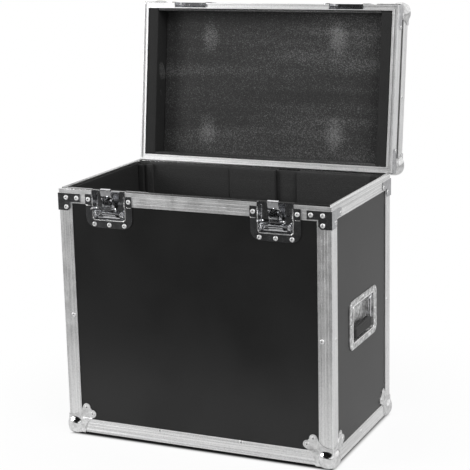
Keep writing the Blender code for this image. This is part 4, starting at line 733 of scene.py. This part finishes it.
def lid_rivet_places():
    """Rivets of the lid's braces, keepers and side edges."""
    places = []
    for across, up in ((18.0, 563.4), (43.5, 563.4)):
        places += corner_rivets(across, up, PLATE_OUT, ("front", "back"))
    for across, up in ((48.0, 566.4), (21.0, 580.4)):
        places += corner_rivets(across, up, PLATE_OUT, ("left", "right"))
    for offset in (-LATCH_OFFSET, LATCH_OFFSET):
        for across in (-48.2, 48.2):
            places.append(("front", offset + across, 562.0, PLATE_OUT))
    for face, sign in (("right", -1), ("left", 1)):
        places.append((face, sign * -17.5, LID_TOP - 19.0, 0.0))
    return places


def rivet_head(radius, rise):
    """Radius and height of a pop rivet's head: half an ellipse that turns down into its hole."""
    hole = RIVET_HOLE / RIVET_RADIUS * radius
    angles = np.radians([0.0, 25.0, 50.0, 75.0, 100.0, 125.0])
    ring = hole + 0.6 + (radius - hole - 0.6) * np.cos(angles)
    return [(radius, -0.3), *zip(ring, rise * np.sin(angles)), (hole, 0.1)]


def rivet_mandrel(radius):
    """Radius and height of the broken end of the mandrel inside a rivet."""
    hole = RIVET_HOLE / RIVET_RADIUS * radius
    return [(hole, 0.2), (hole * 0.8, 0.5), (0.0, 0.6)]


def add_rivets(name, radius, rise, places, lid, finishes):
    """The same head and mandrel end at every rivet's place."""
    spots = [case_matrix(lid) @ face_matrix(face) @ Matrix.Translation((across, up, out))
             for face, across, up, out in places]
    parts = ((name + "_rivets", rivet_head(radius, rise)),
             (name + "_mandrels", rivet_mandrel(radius)))
    for (title, profile), finish in zip(parts, finishes):
        grid = turned_profile(profile, RIVET_SIDES)
        obj = surface(title, [moved(grid, spots)], finish, close_columns=True)
        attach(obj, "lid" if lid else "base")


# Rolled lips

def bead(path, radius, closed):
    """A round bead along a path on a face: rows follow the path, columns go round.

    Each point's circle lies across the path: its sine goes straight out of the face and its
    cosine along the path's normal in the face.
    """
    path = np.array(path, float)
    if closed:
        along = np.roll(path, -1, axis=0) - np.roll(path, 1, axis=0)
    else:
        along = np.gradient(path, axis=0)
    along /= np.linalg.norm(along, axis=1, keepdims=True)
    normal = np.stack([along[:, 1], -along[:, 0], np.zeros(len(path))], axis=1)
    angle = np.arange(10) * 2.0 * math.pi / 10
    ring = normal[:, None] * np.cos(angle)[:, None]
    ring[..., 2] += np.sin(angle)
    thick = np.full(len(path), radius)
    if not closed:
        thick[0] = thick[-1] = 1e-3
    return path[:, None] + ring * thick[:, None, None]


def corner_arc(x, y, radius, start, end, level):
    """Points on a quarter turn round a centre, at a level out of the face."""
    return [(*point, level) for point in arc_points(x, y, radius, start, end, 7)]


def add_lips(finish):
    """The rolled lips round the latch and handle recesses, and the bends below the flanges."""
    grids = []
    reach = LATCH_RECESS_HALF
    for offset in (-LATCH_OFFSET, LATCH_OFFSET):
        turn = DISH_CORNER
        path = [(-reach, LATCH_PLATE_TOP - 0.5, PLATE_OUT),
                (-reach, LATCH_PLATE_TOP - 1.5, PLATE_OUT),
                (-reach, RIM_LEG_END, PLATE_OUT), (-reach, RIM_LEG_END - 1.6, 0.0)]
        path += corner_arc(-reach + turn, LATCH_RECESS_BOTTOM + turn, turn, 180.0, 270.0, 0.0)
        path += [(-x, y, z) for x, y, z in reversed(path)]
        place = [case_matrix() @ face_matrix("front") @ Matrix.Translation((offset, 0.0, 0.0))]
        grids.append(moved(bead(path, LIP_RADIUS, False), place))
        for side in (-1.0, 1.0):
            ends = sorted((side * (reach + 3.0), side * LATCH_FLANGE_HALF))
            path = [(x, RIM_LEG_END - 0.9, 0.9) for x in np.linspace(*ends, 8)]
            grids.append(moved(bead(path, 1.2, False), place))
    lips = surface("latch_lips", grids, finish, close_columns=True)
    ring = []
    half, turn = HANDLE_RECESS_HALF, DISH_CORNER
    low, top = HANDLE_RECESS
    for x, y, start in ((-half + turn, low + turn, 180.0), (half - turn, low + turn, 270.0),
                        (half - turn, top - turn, 0.0), (-half + turn, top - turn, 90.0)):
        ring += corner_arc(x, y, turn, start, start + 90.0, 0.0)
    places = [case_matrix() @ face_matrix(face) @ Matrix.Translation((shift, 0.0, 0.0))
              for face, shift in (("right", HANDLE_SHIFT), ("left", -HANDLE_SHIFT))]
    handle_lips = surface("handle_lips", [moved(bead(ring, LIP_RADIUS, True), places)], finish,
                          close_rows=True, close_columns=True)
    for obj in (lips, handle_lips):
        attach(obj, "base")


# Studio

def make_camera():
    """A camera with the place, the turn and the lens that the photograph was taken with."""
    azimuth = math.radians(CAMERA_AZIMUTH)
    elevation = math.radians(CAMERA_ELEVATION)
    back = Vector((math.sin(azimuth) * math.cos(elevation),
                   -math.cos(azimuth) * math.cos(elevation), math.sin(elevation)))
    side = Vector((math.cos(azimuth), math.sin(azimuth), 0.0))
    turn = Matrix((side, back.cross(side), back)).transposed().to_4x4()
    turn = turn @ Matrix.Rotation(math.radians(CAMERA_ROLL), 4, "Z")
    turn.translation = SHIFT + Vector(CAMERA_PLACE) * MM
    data = bpy.data.cameras.new("camera")
    data.sensor_width = SENSOR_WIDTH
    data.lens = CAMERA_LENS
    data.clip_end = 100.0
    camera = bpy.data.objects.new("camera", data)
    bpy.context.scene.collection.objects.link(camera)
    camera.matrix_world = turn
    bpy.context.scene.camera = camera


def add_area_light(name, place, target, size, power):
    """A square soft light at a place in metres, aimed at a target."""
    data = bpy.data.lights.new(name, "AREA")
    data.size = size
    data.energy = power
    light = bpy.data.objects.new(name, data)
    bpy.context.scene.collection.objects.link(light)
    place = Vector(place)
    light.location = place
    light.rotation_euler = (place - Vector(target)).to_track_quat("Z", "Y").to_euler()


def make_world():
    """A soft grey surround for the light, white where the camera sees it. Glossy rays alone see
    two dark zones in front as well, one low and one higher, so all that shines, metal and
    satin film alike, mirrors a darker studio than the camera sees."""
    world = bpy.data.worlds.new("studio")
    world.use_nodes = True
    tree = world.node_tree
    rays = tree.nodes.new("ShaderNodeLightPath")
    way = tree.nodes.new("ShaderNodeTexCoord").outputs["Generated"]
    lengths = []
    for x, z, half, tall in DARK_ZONES:
        aside = add_node(tree, "ShaderNodeMapping", {"vector_type": "POINT"},
                         {"Vector": way, "Location": (-x / half, 0.0, -z / tall),
                          "Scale": (1 / half, 0.0, 1 / tall)})
        far = add_node(tree, "ShaderNodeVectorMath", {"operation": "LENGTH"},
                       {0: aside.outputs[0]})
        lengths.append(far.outputs["Value"])
    far = add_node(tree, "ShaderNodeMath", {"operation": "MINIMUM"},
                   {0: lengths[0], 1: lengths[1]})
    behind = add_node(tree, "ShaderNodeSeparateXYZ", {}, {0: way})
    behind = add_node(tree, "ShaderNodeMath", {"operation": "MULTIPLY_ADD"},
                      {0: behind.outputs["Y"], 1: 4.0, 2: 2.0})
    far = add_node(tree, "ShaderNodeMath", {"operation": "MAXIMUM"},
                   {0: far.outputs[0], 1: behind.outputs[0]})
    pale = add_node(tree, "ShaderNodeMapRange", {"interpolation_type": "SMOOTHSTEP"},
                    {"Value": far.outputs[0], "From Min": 0.85, "From Max": 1.35,
                     "To Min": DARK_STRENGTH, "To Max": 1.0})
    mirrored = add_node(tree, "ShaderNodeMath", {"operation": "MULTIPLY"},
                        {0: rays.outputs["Is Glossy Ray"], 1: pale.outputs[0]})
    seen = add_node(tree, "ShaderNodeMath", {"operation": "MAXIMUM"},
                    {0: rays.outputs["Is Camera Ray"], 1: rays.outputs["Is Transmission Ray"]})
    seen = add_node(tree, "ShaderNodeMath", {"operation": "MAXIMUM"},
                    {0: seen.outputs[0], 1: mirrored.outputs[0]})
    plain = add_node(tree, "ShaderNodeMath", {"operation": "MULTIPLY"},
                     {0: rays.outputs["Is Diffuse Ray"], 1: 0.5})
    strength = add_node(tree, "ShaderNodeMath", {"operation": "MAXIMUM"},
                        {0: seen.outputs[0], 1: plain.outputs[0]})
    background = tree.nodes["Background"]
    background.inputs["Color"].default_value = srgb("ffffff")
    tree.links.new(strength.outputs[0], background.inputs["Strength"])
    bpy.context.scene.world = world


def make_floor():
    """A wide pale floor that fades to white and, under the camera's glow, keeps a trace of the
    case's shadow. Under the case the paper carries a painted shadow, dark grey with the glow
    held off, so the dark strip at its foot is mostly painted shadow and partly real shadow, and
    glossy rays alone see the paper painted dark in front of the case, a painted dark reflection."""
    line = np.linspace(-PAPER_REACH, PAPER_REACH, 3)
    grid = np.stack([*np.meshgrid(line, line, indexing="ij"), np.full((3, 3), -PAPER_DROP)],
                    axis=-1)
    material, tree, shader, place = new_material("studio_paper")
    floor = surface("studio_floor", [grid], material)
    rays = tree.nodes.new("ShaderNodeLightPath")
    split = add_node(tree, "ShaderNodeSeparateXYZ", {}, {0: place})
    # Painted dark reflection: glossy rays alone see the paper near black in front of the case
    front = add_node(tree, "ShaderNodeMapRange", {"interpolation_type": "SMOOTHSTEP"},
                     {"Value": split.outputs["Y"], "From Min": PAINTED_REFLECTION_END[0],
                      "From Max": PAINTED_REFLECTION_END[1], "To Min": 1.0, "To Max": 0.0})
    front = add_node(tree, "ShaderNodeMath", {"operation": "MULTIPLY"},
                     {0: front.outputs[0], 1: rays.outputs["Is Glossy Ray"]})
    glow = add_node(tree, "ShaderNodeEmission", {}, {"Color": srgb("ffffff"), "Strength": 1.0})
    away = add_node(tree, "ShaderNodeVectorMath", {"operation": "LENGTH"}, {0: place})
    away = add_node(tree, "ShaderNodeMapRange", {"interpolation_type": "SMOOTHSTEP"},
                    {"Value": away.outputs["Value"], "From Min": PAPER_GLOW[0],
                     "From Max": PAPER_GLOW[1], "To Min": PAPER_GLOW[2], "To Max": 1.0})
    # Painted shadow: under the case the paper is painted dark grey and the camera's glow is held
    # off
    under = add_node(tree, "ShaderNodeMapRange", {"interpolation_type": "SMOOTHSTEP"},
                     {"Value": past_faces(tree, place)[1], "From Min": PAINTED_SHADOW_EDGE[0],
                      "From Max": PAINTED_SHADOW_EDGE[1], "To Min": 0.0, "To Max": 1.0})
    painted_shadow_paper = add_node(tree, "ShaderNodeMix", {"data_type": "RGBA"},
                   {"Factor": under.outputs[0], "A": srgb("303030"), "B": srgb("f4f4f4")})
    paper = add_node(tree, "ShaderNodeMix", {"data_type": "RGBA"},
                     {"Factor": front.outputs[0], "A": painted_shadow_paper.outputs[2], "B": srgb("101010")})
    tree.links.new(paper.outputs[2], shader.inputs["Base Color"])
    shader.inputs["Roughness"].default_value = 0.8
    away = add_node(tree, "ShaderNodeMath", {"operation": "MULTIPLY"},
                    {0: away.outputs[0], 1: under.outputs[0]})
    share = add_node(tree, "ShaderNodeMath", {"operation": "MULTIPLY"},
                     {0: rays.outputs["Is Camera Ray"], 1: away.outputs[0]})
    mixed = add_node(tree, "ShaderNodeMixShader", {}, {0: share.outputs[0], 1: shader.outputs[0],
                                                       2: glow.outputs[0]})
    tree.links.new(mixed.outputs[0], tree.nodes["Material Output"].inputs["Surface"])


def dress_nodes():
    """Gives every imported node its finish, chosen by the longest start of its name."""
    plated = plated_steel("zinc_plated_steel", False, 0.1, 0.12)
    plated_lid = plated_steel("zinc_plated_steel_lid", True, 0.1, 0.12)
    pressed = plated_steel("pressed_zinc_plate", False, 0.4, 0.2, PALE_ZINC)
    pressed_lid = plated_steel("pressed_zinc_plate_lid", True, 0.4, 0.2, PALE_ZINC)
    dish = plated_steel("pressed_zinc_dish", False, 0.45, 0.8, ("808080", "ffffff"))
    foam, lid_foam = lining_foam(False), lining_foam(True)
    chrome = bright_steel()
    finishes = {
        "base_panel": laminated_plywood(False), "lid_panel": laminated_plywood(True),
        "upright": drawn_aluminium("aluminium_upright", False, 2),
        "floor_edge_front": drawn_aluminium("aluminium_edge_along_x", False, 0),
        "floor_edge_left": drawn_aluminium("aluminium_edge_along_y", False, 1),
        "lid_edge_front": drawn_aluminium("aluminium_lid_edge_along_x", True, 0),
        "lid_edge_left": drawn_aluminium("aluminium_lid_edge_along_y", True, 1),
        "base_rim": drawn_aluminium("aluminium_rim_with_braces", False, 0, True),
        "lid_rim": drawn_aluminium("aluminium_lid_rim_with_braces", True, 0, True),
        "base_ball": pressed, "lid_ball": pressed_lid, "latch_dish": plated, "keeper": plated_lid,
        "latch_carriage": plated, "handle_dish": dish, "hinge_base": pressed,
        "hinge_lid": pressed_lid, "latch_spring": chrome, "latch_claw": chrome,
        "latch_spindle": chrome, "latch_wing": chrome, "handle_bail": chrome,
        "handle_grip": grip_rubber(), "base_foam": foam, "lid_foam": lid_foam,
    }
    for prefix in ("floor_edge", "lid_edge"):
        finishes[prefix + "_back"] = finishes[prefix + "_front"]
        finishes[prefix + "_right"] = finishes[prefix + "_left"]
    for name, obj in NODES.items():
        start = max((key for key in finishes if name.startswith(key)), key=len)
        obj.data.materials.clear()
        obj.data.materials.append(finishes[start])
    return foam, lid_foam


bpy.context.scene.view_settings.view_transform = "Standard"
make_camera()
make_world()
make_floor()
add_area_light("key_light", (2.2, -1.6, 2.6), LIGHT_TARGET, 2.0, LIGHT_POWER)
add_area_light("side_light", (-2.6, -2.2, 1.5), LIGHT_TARGET, 1.4, LIGHT_POWER)
line_case(*dress_nodes())
add_ball_corners(*(plated_steel("pressed_zinc_corner" + end, lid, 0.4, 0.15, PALE_ZINC, True)
                   for end, lid in (("", False), ("_lid", True))))
# The mandrels' near-black tone is partly the bare steel's darker colour and mostly painted shade
# of the rivet's hole
mandrels_painted_shade = plated_steel("steel_mandrel_painted_shade", False, 0.4, 0.3, ("101010", "202020"))
bright = (plated_steel("nickel_plated_rivet", False, 0.5, 0.0, ("e6e6e6", "fcfcfc")), mandrels_painted_shade)
dull = (plated_steel("zinc_plated_rivet", False, 0.4, 0.1, ("cfcfcf", "f2f2f2")), mandrels_painted_shade)
add_rivets("base", RIVET_RADIUS, RIVET_RISE, base_rivet_places(), False, bright)
add_rivets("base_low", LOW_RIVET_RADIUS, LOW_RIVET_RISE, low_rivet_places(), False, dull)
add_rivets("handle", HANDLE_RIVET_RADIUS, LOW_RIVET_RISE, handle_rivet_places(), False, dull)
add_rivets("lid", LOW_RIVET_RADIUS, LOW_RIVET_RISE, lid_rivet_places(), True, dull)
add_lips(plated_steel("rolled_zinc_lip", False, 0.2, 0.1, ("d8d8d8", "f4f4f4")))
